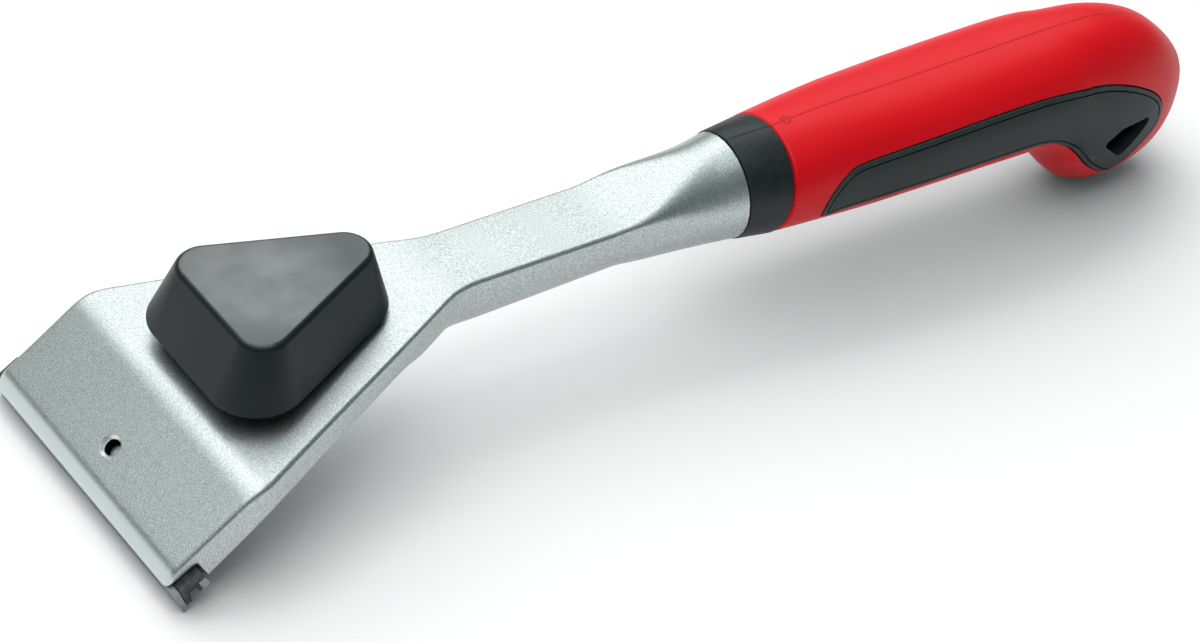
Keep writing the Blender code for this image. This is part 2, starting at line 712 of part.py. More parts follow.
def rounded_triangle(corner_radius, shift, z):
    """A ring about the knob's axis, round the outside of its three corner circles."""
    centres = knob_corners()
    steps = CIRCLE_STEPS // len(centres)
    ring = []
    for i, centre in enumerate(centres):
        into = centre - centres[i - 1]
        away = centres[(i + 1) % len(centres)] - centre
        start = math.atan2(-into.x, into.y)
        turn = (math.atan2(-away.x, away.y) - start) % (2 * math.pi)
        for step in range(steps + 1):
            angle = start + turn * step / steps
            ring.append((shift + centre.x + corner_radius * math.cos(angle),
                         centre.y + corner_radius * math.sin(angle), z))
    return ring


def knob_ring(height, shrink):
    """The knob's outline at one height, set in by a wall."""
    share = height / KNOB_HEIGHT
    radius = KNOB_BASE_CORNER_RADIUS + (KNOB_TOP_CORNER_RADIUS - KNOB_BASE_CORNER_RADIUS) * share
    return rounded_triangle(radius - shrink, KNOB_TOP_SHIFT * share, height)


def rim_rings(height, edge, toward_middle):
    """Rings that round the foot of the knob, or its top where toward_middle is -1."""
    rings = []
    for i in range(FILLET_STEPS + 1):
        angle = math.pi / 2 * i / FILLET_STEPS
        rise = edge * (1 - math.cos(angle))
        shrink = edge * (1 - math.sin(angle))
        rings.append(knob_ring(height + rise * toward_middle, shrink))
    return rings[::toward_middle]


def make_knob(knob_frame):
    """The hollow knob with its boss and three ribs, and the threaded insert in the boss."""
    rings = rim_rings(0, KNOB_FOOT_EDGE, 1) + rim_rings(KNOB_HEIGHT, KNOB_TOP_EDGE, -1)
    shell = piece("knob_shell", loft(rings), knob_plastic(), knob_frame)
    boss_foot = PEDESTAL_RISE + GAP
    inside = [knob_ring(-OVERRUN, KNOB_WALL), knob_ring(KNOB_HEIGHT - KNOB_ROOF, KNOB_WALL)]
    hollow = cutter("knob_hollow", loft(inside), knob_frame)
    boss = turned(((KNOB_BOSS_RADIUS, boss_foot), (KNOB_BOSS_RADIUS, KNOB_HEIGHT)))
    combine(hollow, cutter("knob_inner_boss", boss, knob_frame))
    half = KNOB_RIB_THICKNESS / 2
    rib_height = (boss_foot + KNOB_RIB_THICKNESS, KNOB_HEIGHT)
    for number, corner in enumerate(knob_corners()):
        reach = corner.length + KNOB_BASE_CORNER_RADIUS
        rib = cutter(f"knob_rib_{number}", box((0, reach), (-half, half), rib_height), knob_frame)
        rib.rotation_euler = (0, 0, math.atan2(corner.y, corner.x))
        combine(hollow, rib)
    combine(shell, hollow)
    seat_radius = INSERT_RADIUS + GAP
    top = boss_foot + INSERT_LENGTH
    pocket = turned(((seat_radius, boss_foot - OVERRUN), (seat_radius, top + GAP)))
    combine(shell, cutter("insert_pocket", pocket, knob_frame))
    insert = tube(INSERT_RADIUS, KNOB_SCREW_RADIUS + GAP, boss_foot, top)
    piece("knob_insert", insert, brass(), knob_frame)


def make_knob_screw(knob_frame):
    boss_low = knob_boss_low()
    washer_top = boss_low - GAP
    washer_low = washer_top - KNOB_WASHER_THICKNESS
    washer = tube(KNOB_WASHER_RADIUS, KNOB_SCREW_RADIUS + GAP, washer_low, washer_top)
    piece("knob_washer", washer, zinc_steel(), knob_frame)
    head_top = washer_low - GAP
    tip = PEDESTAL_RISE + INSERT_LENGTH
    mesh = screw(KNOB_SCREW_RADIUS, KNOB_SCREW_HEAD_RADIUS, KNOB_SCREW_HEAD_HEIGHT, head_top, tip)
    made = piece("knob_screw", mesh, zinc_steel(), knob_frame)
    drive(made, "knob_screw_socket", KNOB_SCREW_HEAD_RADIUS, KNOB_SCREW_HEAD_HEIGHT, head_top, knob_frame)


def collar_section(x, width, height, lean):
    """An upright oval on the collar's centre line, leaning with one of the collar's faces."""
    return oval_section(x, width / 2, COLLAR_Z - height / 2, COLLAR_Z + height / 2, lean=lean)


def make_collar(tool):
    """The moulded ring between the casting's shoulder and the grip."""
    rear_x = COLLAR_X + COLLAR_LENGTH
    front, rear = COLLAR_FRONT_LEAN_SHARE, COLLAR_REAR_LEAN_SHARE
    hole = (NOSE_WIDTH + GAP * 2, NOSE_HEIGHT + GAP * 2)
    spec = ((COLLAR_X, COLLAR_FRONT_WIDTH - COLLAR_EDGE, COLLAR_FRONT_HEIGHT - COLLAR_EDGE, front),
            (COLLAR_X + COLLAR_EDGE, COLLAR_FRONT_WIDTH, COLLAR_FRONT_HEIGHT, front),
            (rear_x, COLLAR_REAR_WIDTH, COLLAR_REAR_HEIGHT, rear),
            (rear_x, *hole, rear), (COLLAR_X, *hole, front))
    rings = [collar_section(*station) for station in spec]
    piece("collar", loft(rings, wrapped=True), collar_plastic(), tool)


def grip_outlines():
    """The grip's side and plan outlines, with X from its front edge."""
    side = curve_through([(x * GRIP_LENGTH, z * GRIP_HEIGHT) for x, z in GRIP_SIDE_SHARES], CURVE_STEPS)
    low, high = min(p[1] for p in side), max(p[1] for p in side)
    rear = max(p[0] for p in side)
    side = [(x * GRIP_LENGTH / rear, (z - low) * GRIP_HEIGHT / (high - low)) for x, z in side]
    edge = curve_through([(x * GRIP_LENGTH, y * GRIP_WIDTH / 2) for x, y in GRIP_PLAN_SHARES],
                         CURVE_STEPS)
    return side, edge + [(x, -y) for x, y in reversed(edge)]


def grip_stations(side, length):
    """Places along the grip: even along the shaft, close at the beak, and closing in at the end."""
    lowest = min(side, key=lambda point: point[1])[0]
    beak = BEAK_START_SHARE * GRIP_LENGTH
    shaft = [beak * i / SHAFT_STEPS for i in range(SHAFT_STEPS)]
    nose = [beak + (lowest - beak) * i / BEAK_STEPS for i in range(BEAK_STEPS)]
    end = [lowest + (length - lowest) * math.sin(math.pi / 2 * i / END_STEPS) for i in range(END_STEPS)]
    return shaft + nose + end + [end[-1] + (length - end[-1]) * LAST_RING_SHARE, length]


def grip_ring(side, plan, x, grow=0.0):
    """The ring at one place along the grip: leaning and oval in front, pinched at the hook."""
    first = min(point[0] for point in side) + GRIP_EDGE_RADIUS
    last = min(max(point[0] for point in outline) for outline in (side, plan)) * (1 - TIP_SHARE)
    place = min(max(x, first), last)
    low, high = span_at(side, place)
    half_width = span_at(plan, place)[1]
    front = max(0, 1 - x / GRIP_LENGTH / GRIP_FRONT_SHARE)
    hook = share_between(x, BEAK_START_SHARE * GRIP_LENGTH, HOOK_SHARE * GRIP_LENGTH)
    return oval_section(GRIP_X + x, half_width + grow, low - grow, high + grow,
                        GRIP_SQUARENESS * (1 - front), COLLAR_REAR_LEAN_SHARE * front,
                        HOOK_PINCH * hook)


def grip_rings(depth=0.0):
    """Rings along the grip's outside, or along a surface that lies deeper."""
    side, plan = (inset(outline, depth) for outline in grip_outlines())
    return [grip_ring(side, plan, x) for x in grip_stations(side, GRIP_LENGTH - depth)]


def skin_rings():
    """The grip's rings with its front edge rounded."""
    side, plan = grip_outlines()
    rings = []
    for i in range(FILLET_STEPS + 1):
        angle = math.pi / 2 * i / FILLET_STEPS
        x = GRIP_EDGE_RADIUS * (1 - math.cos(angle))
        rings.append(grip_ring(side, plan, x, GRIP_EDGE_RADIUS * (math.sin(angle) - 1)))
    return rings + grip_rings()[1:]


def panel_outline(clearance):
    """The side panel's outline in XZ."""
    points = [(GRIP_X + x * GRIP_LENGTH, z * GRIP_HEIGHT) for x, z in PANEL_OUTLINE_SHARES]
    return inset(curve_through(points, PANEL_CURVE_STEPS, closed=True), clearance)


def hang_hole():
    corners = [(GRIP_X + x * GRIP_LENGTH, z * GRIP_HEIGHT, HANG_HOLE_RADIUS) for x, z in HANG_HOLE_SHARES]
    return prism(rounded_outline(corners), GRIP_WIDTH + OVERRUN)


def half_prism(outline, side):
    """An XZ outline drawn out to one side of the middle plane."""
    near = PANEL_ROOT_SHARE * GRIP_WIDTH / 2
    far = GRIP_WIDTH / 2 + OVERRUN
    return loft([[(x, side * y, z) for x, z in outline] for y in (near, far)])


def make_grip(tool):
    """The core, the skin over it with its two windows, and the panels in the windows."""
    core = grip_rings(SKIN_THICKNESS)
    nose = [collar_section(COLLAR_X, NOSE_WIDTH, NOSE_HEIGHT, COLLAR_FRONT_LEAN_SHARE),
            collar_section(GRIP_X, NOSE_WIDTH, NOSE_HEIGHT, COLLAR_REAR_LEAN_SHARE)]
    core_piece = piece("grip_core", loft(nose + core), core_plastic(), tool)
    tang_cut = cutter("tang_pocket", loft(tang_rings(GAP)), tool)
    combine(core_piece, tang_cut)
    hole = cutter("hang_hole", hang_hole(), tool)
    combine(core_piece, hole)
    hollow = grip_rings(SKIN_THICKNESS - GAP)
    mouth = [(x - OVERRUN, y, z) for x, y, z in hollow[0]]
    cavity = cutter("skin_cavity", loft([mouth] + hollow), tool)
    skin = piece("grip_skin", loft(skin_rings()), skin_plastic(), tool)
    combine(skin, cavity)
    for side, word in ((-1, "near"), (1, "far")):
        window = cutter(f"window_{word}", half_prism(panel_outline(0), side), tool)
        combine(skin, window)
        panel = piece(f"side_panel_{word}", loft(grip_rings(-PANEL_PROUD)), panel_rubber(), tool)
        frame_cut = cutter(f"panel_{word}_limit", half_prism(panel_outline(GAP), side), tool)
        combine(panel, frame_cut, "INTERSECT")
        combine(panel, cavity)
        combine(panel, hole)


def main():
    clear_scene()
    tool = frame("tool_frame", (-OVERALL_LENGTH / 2, 0, 0))
    seat = frame("seat_frame", (SEAT_INSET, 0, SEAT_Z), SEAT_ANGLE, tool)
    knob_frame = frame("knob_frame", (KNOB_X, 0, KNOB_Z), KNOB_TILT, tool)
    make_head(tool, seat, knob_frame)
    make_blade(seat)
    make_clamp(seat)
    make_knob(knob_frame)
    make_knob_screw(knob_frame)
    make_collar(tool)
    make_grip(tool)
    bpy.context.view_layer.update()


main()
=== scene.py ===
import math

import bmesh
import bpy
from mathutils import Matrix, Vector


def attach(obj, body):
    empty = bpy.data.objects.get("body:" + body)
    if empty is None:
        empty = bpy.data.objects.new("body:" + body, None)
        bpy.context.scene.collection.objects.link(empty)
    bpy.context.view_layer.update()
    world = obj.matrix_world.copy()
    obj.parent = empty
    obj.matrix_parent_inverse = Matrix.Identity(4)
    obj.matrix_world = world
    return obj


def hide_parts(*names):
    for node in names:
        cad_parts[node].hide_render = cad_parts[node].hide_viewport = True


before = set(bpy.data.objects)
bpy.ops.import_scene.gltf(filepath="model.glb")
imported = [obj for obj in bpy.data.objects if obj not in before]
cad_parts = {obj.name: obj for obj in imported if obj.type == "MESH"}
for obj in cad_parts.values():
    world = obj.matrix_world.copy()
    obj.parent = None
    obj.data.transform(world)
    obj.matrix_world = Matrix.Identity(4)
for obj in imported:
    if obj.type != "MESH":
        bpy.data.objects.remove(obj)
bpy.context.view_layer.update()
scene = bpy.context.scene
scene.view_settings.view_transform = "Standard"
# A Mix node's colour sockets share their names with others, so they are found by number.
FIRST_COLOUR, SECOND_COLOUR, MIXED_COLOUR = 6, 7, 2


def new_object(name, data):
    """An object in the scene that holds this data."""
    made = bpy.data.objects.new(name, data)
    scene.collection.objects.link(made)
    return made


def feed(tree, value, socket):
    """Gives a socket its value, which is another socket, a number or a colour."""
    if isinstance(value, bpy.types.NodeSocket):
        tree.links.new(value, socket)
    else:
        socket.default_value = value


def calculate(tree, operation, first, second=0):
    """A Math node on one or two values, each a socket or a number."""
    node = tree.nodes.new("ShaderNodeMath")
    node.operation = operation
    feed(tree, first, node.inputs[0])
    feed(tree, second, node.inputs[1])
    return node.outputs[0]


def stretch(tree, value, low, high, start=0.0, finish=1.0):
    """A value's span from low to high, mapped to another span and held inside it."""
    node = tree.nodes.new("ShaderNodeMapRange")
    tree.links.new(value, node.inputs["Value"])
    ends = {"From Min": low, "From Max": high, "To Min": start, "To Max": finish}
    for label, number in ends.items():
        node.inputs[label].default_value = number
    return node.outputs["Result"]


def mix_colours(tree, mask, first, second):
    """A colour between two, each a socket or a colour, by a mask."""
    node = tree.nodes.new("ShaderNodeMix")
    node.data_type = "RGBA"
    tree.links.new(mask, node.inputs["Factor"])
    feed(tree, first, node.inputs[FIRST_COLOUR])
    feed(tree, second, node.inputs[SECOND_COLOUR])
    return node.outputs[MIXED_COLOUR]


# Camera
# A long lens looks down on the blade end from the near left, a little rolled, so that
# the tool runs up the picture from the lower left to the upper right.
VIEW_TARGET = Vector((-0.01845, -0.0058, 0.0082))
VIEW_AZIMUTH = math.radians(-41.54)
VIEW_ELEVATION = math.radians(38.93)
VIEW_ROLL = math.radians(10.41)
VIEW_DISTANCE = 0.9211
VIEW_LENS_MM = 145.6
back = Vector((math.sin(VIEW_AZIMUTH) * math.cos(VIEW_ELEVATION),
               -math.cos(VIEW_AZIMUTH) * math.cos(VIEW_ELEVATION), math.sin(VIEW_ELEVATION)))
level = Vector((math.cos(VIEW_AZIMUTH), math.sin(VIEW_AZIMUTH), 0))
upright = back.cross(level)
across = level * math.cos(VIEW_ROLL) + upright * math.sin(VIEW_ROLL)
upward = upright * math.cos(VIEW_ROLL) - level * math.sin(VIEW_ROLL)
camera_data = bpy.data.cameras.new("studio_camera")
camera_data.lens = VIEW_LENS_MM
camera = new_object("studio_camera", camera_data)
camera.matrix_world = Matrix((across, upward, back)).transposed().to_4x4()
camera.matrix_world.translation = VIEW_TARGET + back * VIEW_DISTANCE
scene.camera = camera

# Floor
# A white sweep that the tool rests on. The camera and reflections see it a little paler by
# Light Path, so that it reads as white, while the tool's own shadow still darkens it.
FLOOR_SIZE = 6.0
FLOOR_DROP = 0.0001
FLOOR_ALBEDO = 0.86
FLOOR_SEEN = 1.2
floor_mesh = bpy.data.meshes.new("floor")
half = FLOOR_SIZE / 2
corners = ((-half, -half), (half, -half), (half, half), (-half, half))
floor_mesh.from_pydata([(x, y, -FLOOR_DROP) for x, y in corners], [], [(0, 1, 2, 3)])
floor = new_object("floor", floor_mesh)
floor_finish = bpy.data.materials.new("white_sweep")
floor_finish.use_nodes = True
tree = floor_finish.node_tree
tree.nodes.remove(tree.nodes["Principled BSDF"])
paper = tree.nodes.new("ShaderNodeBsdfDiffuse")
path = tree.nodes.new("ShaderNodeLightPath")
seen = path.outputs["Is Camera Ray"]
for kind in ("Is Glossy Ray", "Is Transmission Ray"):
    seen = calculate(tree, "MAXIMUM", seen, path.outputs[kind])
tree.links.new(stretch(tree, seen, 0, 1, FLOOR_ALBEDO, FLOOR_SEEN), paper.inputs["Color"])
tree.links.new(paper.outputs[0], tree.nodes["Material Output"].inputs["Surface"])
floor_mesh.materials.append(floor_finish)

# Studio light
# A wide softbox behind for the sheen, one overhead that lights the colours, a weak one on
# the left, and a dim room whose reflection is a little green, as it is in the photo's metal.
ROOM_TONE = (0.82, 0.84, 0.86, 1)
ROOM_REFLECTION = (0.66, 0.86, 0.84, 1)
ROOM_STRENGTH = 0.2


def softbox(name, place, size, watts):
    """A rectangular area light that faces the middle of the scene."""
    light = bpy.data.lights.new(name, "AREA")
    light.shape = "RECTANGLE"
    light.size, light.size_y = size
    light.energy = watts
    made = new_object(name, light)
    made.location = place
    made.rotation_euler = (-Vector(place)).to_track_quat("-Z", "Y").to_euler()


softbox("softbox_behind", (0.3, 1.2, 1.4), (2.2, 1.4), 19)
softbox("softbox_left", (-1.2, 0.95, 1.1), (0.9, 1.0), 1.5)
softbox("softbox_above", (-0.5, 0, 1.7), (1.8, 1.6), 16)
room = bpy.data.worlds.new("room")
room.use_nodes = True
tree = room.node_tree
background = tree.nodes["Background"]
glossy = tree.nodes.new("ShaderNodeLightPath").outputs["Is Glossy Ray"]
tree.links.new(mix_colours(tree, glossy, ROOM_TONE, ROOM_REFLECTION), background.inputs["Color"])
background.inputs["Strength"].default_value = ROOM_STRENGTH
scene.world = room

# Head casting
# One die casting in aluminium: the triangular head, the flat neck, the flare and the tang in
# the grip. It is sprayed silver, with a fine grain, and its front face is ground bright.
TOOL_START = -0.12865
GAP = 0.0003
OVERRUN = 0.004
BLADE_FRONT_HEIGHT = 0.005
BLADE_SPLAY = 0.0008
SEAT_ANGLE = math.radians(35.5)
SEAT_INSET = 0.0003
SEAT_LENGTH = 0.0066
SEAT_Z = BLADE_FRONT_HEIGHT * math.cos(SEAT_ANGLE) + BLADE_SPLAY * math.sin(SEAT_ANGLE)
SKIRT_DEPTH = 0.0036
TOE_HEIGHT = 0.0006
APRON_ANGLE = math.radians(38.5)
FAN_ANGLE = math.radians(10.6)
NECK_ANGLE = math.radians(0.9)
RIDGE = (0.0011, 0.0084)
RIDGE_RADIUS = 0.0035
BEND_X = 0.0166
BEND_RADIUS = 0.011
HEAD_THICKNESS = 0.0062
HEAD_FRONT_HALF_WIDTH = 0.0314
HEAD_CORNER_RADIUS = 0.001
HEAD_SHOULDER = (0.0195, 0.0315)
HEAD_SHOULDER_RADIUS = 0.012
HEAD_SIDE_DRAFT = 0.14
HEAD_SIDE_DEPTH = 0.0085
NECK_X = 0.0705
NECK_HALF_WIDTH = 0.008
NECK_PLAN_OFFSET = 0.0035
NECK_BLEND_RADIUS = 0.022
NECK_UNDER_LEAD = 0.009
NECK_UNDER_BLEND = 0.012
NECK_DEPTH = 0.0134
NECK_REAR_DEPTH = 0.0122
FLARE_LENGTH = 0.027
FLARE_RADIUS = 0.04
SHOULDER_X = 0.1386
SHOULDER_HALF_WIDTH = 0.0103
SHOULDER_HALF_HEIGHT = 0.0108
TANG_HALF_WIDTH = 0.0058
TANG_HALF_HEIGHT = 0.0047
TANG_LENGTH = 0.07
TANG_TIP_SHARE = 0.8
TANG_EDGE_RADIUS = 0.0018
CORE_RIM = 0.0036
CORE_HALF_RIB = 0.0015
CORE_ROOF = 0.0028
CORE_FRONT_X = 0.0255
CORE_REAR_X = 0.0585
CORE_CORNER_RADIUS = 0.002
BOSS_RADIUS = 0.0078
PEDESTAL_RADIUS = 0.0085
PEDESTAL_RISE = 0.0007
KNOB_BORE_RADIUS = 0.0033
COLLAR_Z = 0.0275
FRONT_LEAN = -0.05
CLAMP_SCREW_U = 0.0088
CLAMP_PITCH = 0.0007
KNOB_X = 0.0352
KNOB_Z = 0.0271
KNOB_TILT = 0.11
CASTING_STEPS = 140
STATION_SPACING = 0.0002
FILLET_STEPS = 12
CORNER_STEPS = 7
CIRCLE_STEPS = 48
SAME_POINT = 0.0000001
SHARP = math.radians(30)
CUT, ADD, KEEP = "DIFFERENCE", "UNION", "INTERSECT"
tool_place = Matrix.Translation((TOOL_START, 0, 0))


def tilted_place(x, z, tilt):
    """A place on the tool's middle plane, its Z leaning toward the blade."""
    return tool_place @ Matrix.Translation((x, 0, z)) @ Matrix.Rotation(-tilt, 4, "Y")


screw_place = tilted_place(SEAT_INSET, SEAT_Z, SEAT_ANGLE)
screw_place = screw_place @ Matrix.Translation((CLAMP_SCREW_U, 0, 0))
knob_place = tilted_place(KNOB_X, KNOB_Z, KNOB_TILT)


def loft(rings, place=tool_place, wrapped=False):
    """A mesh skinned over rings of points: capped at both ends, or wrapped from last to first."""
    shape = bmesh.new()
    loops = [[shape.verts.new(place @ Vector(point)) for point in ring] for ring in rings]
    count = len(rings[0])
    pairs = list(zip(loops, loops[1:]))
    if wrapped:
        pairs.append((loops[-1], loops[0]))
    else:
        shape.faces.new(loops[0])
        shape.faces.new(loops[-1])
    for near, far in pairs:
        for i in range(count):
            j = (i + 1) % count
            shape.faces.new((near[i], near[j], far[j], far[i]))
    bmesh.ops.remove_doubles(shape, verts=shape.verts, dist=SAME_POINT)
    bmesh.ops.recalc_face_normals(shape, faces=shape.faces)
    mesh = bpy.data.meshes.new("loft")
    shape.to_mesh(mesh)
    shape.free()
    return mesh


def turned(profile, place, steps=CIRCLE_STEPS):
    """A solid turned about Z from (radius, height) pairs that start and end on flat discs."""
    angles = [2 * math.pi * i / steps for i in range(steps)]
    rings = [[(r * math.cos(a), r * math.sin(a), z) for a in angles] for r, z in profile]
    return loft(rings, place)


def carve(mesh, *changes, crossing=False):
    """The mesh after Boolean changes, each an operation and a second mesh that may cross itself."""
    target = new_object("target", mesh)
    others = []
    for operation, second in changes:
        others.append(new_object("second", second))
        change = target.modifiers.new("change", "BOOLEAN")
        change.operation = operation
        change.solver = "EXACT"
        change.use_self = crossing
        change.object = others[-1]
    depsgraph = bpy.context.evaluated_depsgraph_get()
    result = bpy.data.meshes.new_from_object(target.evaluated_get(depsgraph))
    for item in (target, *others):
        bpy.data.objects.remove(item)
    return result


def joined(*meshes):
    """One mesh from several that stay apart."""
    shape = bmesh.new()
    for mesh in meshes:
        shape.from_mesh(mesh)
    together = bpy.data.meshes.new("joined")
    shape.to_mesh(together)
    shape.free()
    return together


def rounded_corner(before, corner, after, radius):
    """The points of an arc that rounds one corner of an outline."""
    start = (Vector(before) - Vector(corner)).normalized()
    finish = (Vector(after) - Vector(corner)).normalized()
    half_angle = math.acos(max(-1, min(1, start.dot(finish)))) / 2
    if radius <= 0 or half_angle > math.pi / 2 - 0.0001:
        return [tuple(corner)]
    shorter = min((Vector(end) - Vector(corner)).length for end in (before, after))
    reach = min(radius / math.tan(half_angle), shorter / 2)
    radius = reach * math.tan(half_angle)
    middle = Vector(corner) + (start + finish).normalized() * (radius / math.sin(half_angle))
    first = Vector(corner) + start * reach - middle
    last = Vector(corner) + finish * reach - middle
    turn = math.atan2(first.x * last.y - first.y * last.x, first.dot(last))
    points = []
    for i in range(FILLET_STEPS + 1):
        cos, sin = math.cos(turn * i / FILLET_STEPS), math.sin(turn * i / FILLET_STEPS)
        points.append((middle.x + first.x * cos - first.y * sin,
                       middle.y + first.x * sin + first.y * cos))
    return points


def rounded_path(corners):
    """An open path through (x, z, radius) corners."""
    points = [corners[0][:2]]
    for before, corner, after in zip(corners, corners[1:], corners[2:]):
        points += rounded_corner(before[:2], corner[:2], after[:2], corner[2])
    return points + [corners[-1][:2]]


def rounded_outline(corners):
    """A closed outline through (x, z, radius) corners."""
    points = []
    for i, corner in enumerate(corners):
        after = corners[(i + 1) % len(corners)]
        points += rounded_corner(corners[i - 1][:2], corner[:2], after[:2], corner[2])
    return points


def height_at(path, x):
    """The height of an open path at one x."""
    for (x0, z0), (x1, z1) in zip(path, path[1:]):
        if x0 <= x <= x1 and x1 > x0:
            return z0 + (z1 - z0) * (x - x0) / (x1 - x0)
    return path[0][1] if x < path[0][0] else path[-1][1]


def meet(point, angle, x):
    """The height at x of a line through a point at an angle."""
    return point[1] + (x - point[0]) * math.tan(angle)


def seat_point(along, out):
    """XZ of a point given along the slanted seat and out from it."""
    cos, sin = math.cos(SEAT_ANGLE), math.sin(SEAT_ANGLE)
    return SEAT_INSET + along * cos - out * sin, SEAT_Z + along * sin + out * cos


def share_between(x, start, finish):
    """How far x lies between two places, from 0 to 1, easing in and out."""
    t = min(1, max(0, (x - start) / (finish - start)))
    return t * t * (3 - 2 * t)


def corner_section(x, half_width, low, high, top_radius, under_radius, lean=0.0, draft=0.0):
    """A ring across the casting: a box with rounded corners, narrower upward with draft."""
    fit = min(1, (high - low) / (top_radius + under_radius))
    middle = (low + high) / 2
    ring = []
    corners = ((1, high, top_radius, 0), (-1, high, top_radius, 1),
               (-1, low, under_radius, 2), (1, low, under_radius, 3))
    for side, height, radius, quarter in corners:
        across = min(radius, half_width)
        tall = radius * fit
        for i in range(CORNER_STEPS + 1):
            angle = math.pi / 2 * (quarter + i / CORNER_STEPS)
            y = side * (half_width - across) + across * math.cos(angle)
            z = height - math.copysign(tall, height - middle) + tall * math.sin(angle)
            spread = 1 + draft * (high - z - HEAD_SIDE_DEPTH) / half_width
            ring.append((x + lean * (z - middle), y * spread, z))
    return ring


bend = (BEND_X, meet(RIDGE, APRON_ANGLE, BEND_X))
seat_foot = (0, meet(seat_point(0, GAP), SEAT_ANGLE, 0))
neck_z = meet(bend, FAN_ANGLE, NECK_X)
flare_x = SHOULDER_X - FLARE_LENGTH
flare_z = meet((NECK_X, neck_z), NECK_ANGLE, flare_x)
under_bend_x = BEND_X + HEAD_THICKNESS * math.sin((APRON_ANGLE + FAN_ANGLE) / 2)
under_neck_x = NECK_X - NECK_UNDER_LEAD
top_path = rounded_path([
    (0, seat_foot[1] + TOE_HEIGHT, 0), (*RIDGE, RIDGE_RADIUS), (*bend, BEND_RADIUS),
    (NECK_X, neck_z, FLARE_RADIUS), (flare_x, flare_z, FLARE_RADIUS),
    (SHOULDER_X, COLLAR_Z + SHOULDER_HALF_HEIGHT, 0)])
under_path = rounded_path([
    (*seat_foot, 0), (*seat_point(SEAT_LENGTH, GAP), 0),
    (*seat_point(SEAT_LENGTH, -SKIRT_DEPTH), 0),
    (under_bend_x, meet(bend, FAN_ANGLE, under_bend_x) - HEAD_THICKNESS, BEND_RADIUS),
    (under_neck_x, meet(bend, FAN_ANGLE, under_neck_x) - HEAD_THICKNESS, FLARE_RADIUS),
    (under_neck_x + NECK_UNDER_BLEND, neck_z - NECK_DEPTH, FLARE_RADIUS),
    (flare_x, flare_z - NECK_REAR_DEPTH, FLARE_RADIUS),
    (SHOULDER_X, COLLAR_Z - SHOULDER_HALF_HEIGHT, 0)])
plan_path = rounded_path([
    (0, HEAD_FRONT_HALF_WIDTH - 0.002, 0), (0, HEAD_FRONT_HALF_WIDTH, HEAD_CORNER_RADIUS),
    (*HEAD_SHOULDER, HEAD_SHOULDER_RADIUS),
    (NECK_X + NECK_PLAN_OFFSET, NECK_HALF_WIDTH, NECK_BLEND_RADIUS),
    (flare_x, NECK_HALF_WIDTH, FLARE_RADIUS), (SHOULDER_X, SHOULDER_HALF_WIDTH, 0)])
places = {point[0] for path in (top_path, under_path, plan_path) for point in path}
places |= {SHOULDER_X * i / CASTING_STEPS for i in range(CASTING_STEPS + 1)}
stations = [0]
for x in sorted(places):
    if x - stations[-1] > STATION_SPACING:
        stations.append(x)
stations[-1] = SHOULDER_X
rings = []
for x in stations:
    flare = share_between(x, flare_x, SHOULDER_X)
    neck = share_between(x, under_neck_x, under_neck_x + NECK_UNDER_BLEND)
    slender = share_between(x, HEAD_SHOULDER[0], NECK_X)
    # The edges' radii: small on the head, larger under the neck, nearly round at the shoulder.
    above = 0.0011 - 0.0002 * slender + 0.0097 * flare
    below = 0.0009 + 0.0067 * neck + 0.003 * flare
    heights = height_at(under_path, x), height_at(top_path, x)
    rings.append(corner_section(x, height_at(plan_path, x), *heights, above, below,
                                FRONT_LEAN * flare, HEAD_SIDE_DRAFT * (1 - slender)))
tang = [corner_section(SHOULDER_X + TANG_LENGTH * i, TANG_HALF_WIDTH * share,
                       COLLAR_Z - TANG_HALF_HEIGHT * share, COLLAR_Z + TANG_HALF_HEIGHT * share,
                       TANG_EDGE_RADIUS, TANG_EDGE_RADIUS)
        for i, share in enumerate((1, TANG_TIP_SHARE))]
rings += [[(x + FRONT_LEAN * (z - COLLAR_Z), y, z) for x, y, z in tang[0]], tang[1]]


def coring_cell(front, rear, side):
    """One pocket under the head, its outline set in from the head's edge."""
    corners = ((front, CORE_HALF_RIB), (rear, CORE_HALF_RIB),
               (rear, height_at(plan_path, rear) - CORE_RIM),
               (front, height_at(plan_path, front) - CORE_RIM))
    outline = rounded_outline([(x, y, CORE_CORNER_RADIUS) for x, y in corners])
    mouth = [(x, side * y, height_at(under_path, x) - OVERRUN) for x, y in outline]
    return loft([mouth, [(x, side * y, height_at(top_path, x) - CORE_ROOF) for x, y in outline]])


lows = []
for reach in (-BOSS_RADIUS, BOSS_RADIUS):
    drop = height_at(under_path, KNOB_X + reach) - KNOB_Z
    lows.append(drop * math.cos(KNOB_TILT) - reach * math.sin(KNOB_TILT))
boss_low = min(lows)
apron_x, apron_z = seat_point(CLAMP_SCREW_U, 0)
apron_rise = (meet(RIDGE, APRON_ANGLE, apron_x) - apron_z) * math.cos(APRON_ANGLE)
apron_rise /= math.cos(APRON_ANGLE - SEAT_ANGLE)
BORE_RADIUS = 0.0017
BORE_MOUTH = 0.0023
BORE_BACK = 0.002
BORE_CHAMFER = 0.0006
cell_ends = ((CORE_FRONT_X, KNOB_X - CORE_HALF_RIB), (KNOB_X + CORE_HALF_RIB, CORE_REAR_X))
cells = [(CUT, coring_cell(*ends, side)) for side in (1, -1) for ends in cell_ends]
tapped_hole = ((BORE_BACK, -0.0076), (BORE_BACK, apron_rise - 0.0022),
               (BORE_RADIUS, apron_rise - 0.002), (BORE_RADIUS, apron_rise - BORE_CHAMFER),
               (BORE_MOUTH, apron_rise), (BORE_MOUTH, apron_rise + OVERRUN))
knob_bore = ((KNOB_BORE_RADIUS, boss_low - OVERRUN), (KNOB_BORE_RADIUS, PEDESTAL_RISE + OVERRUN))
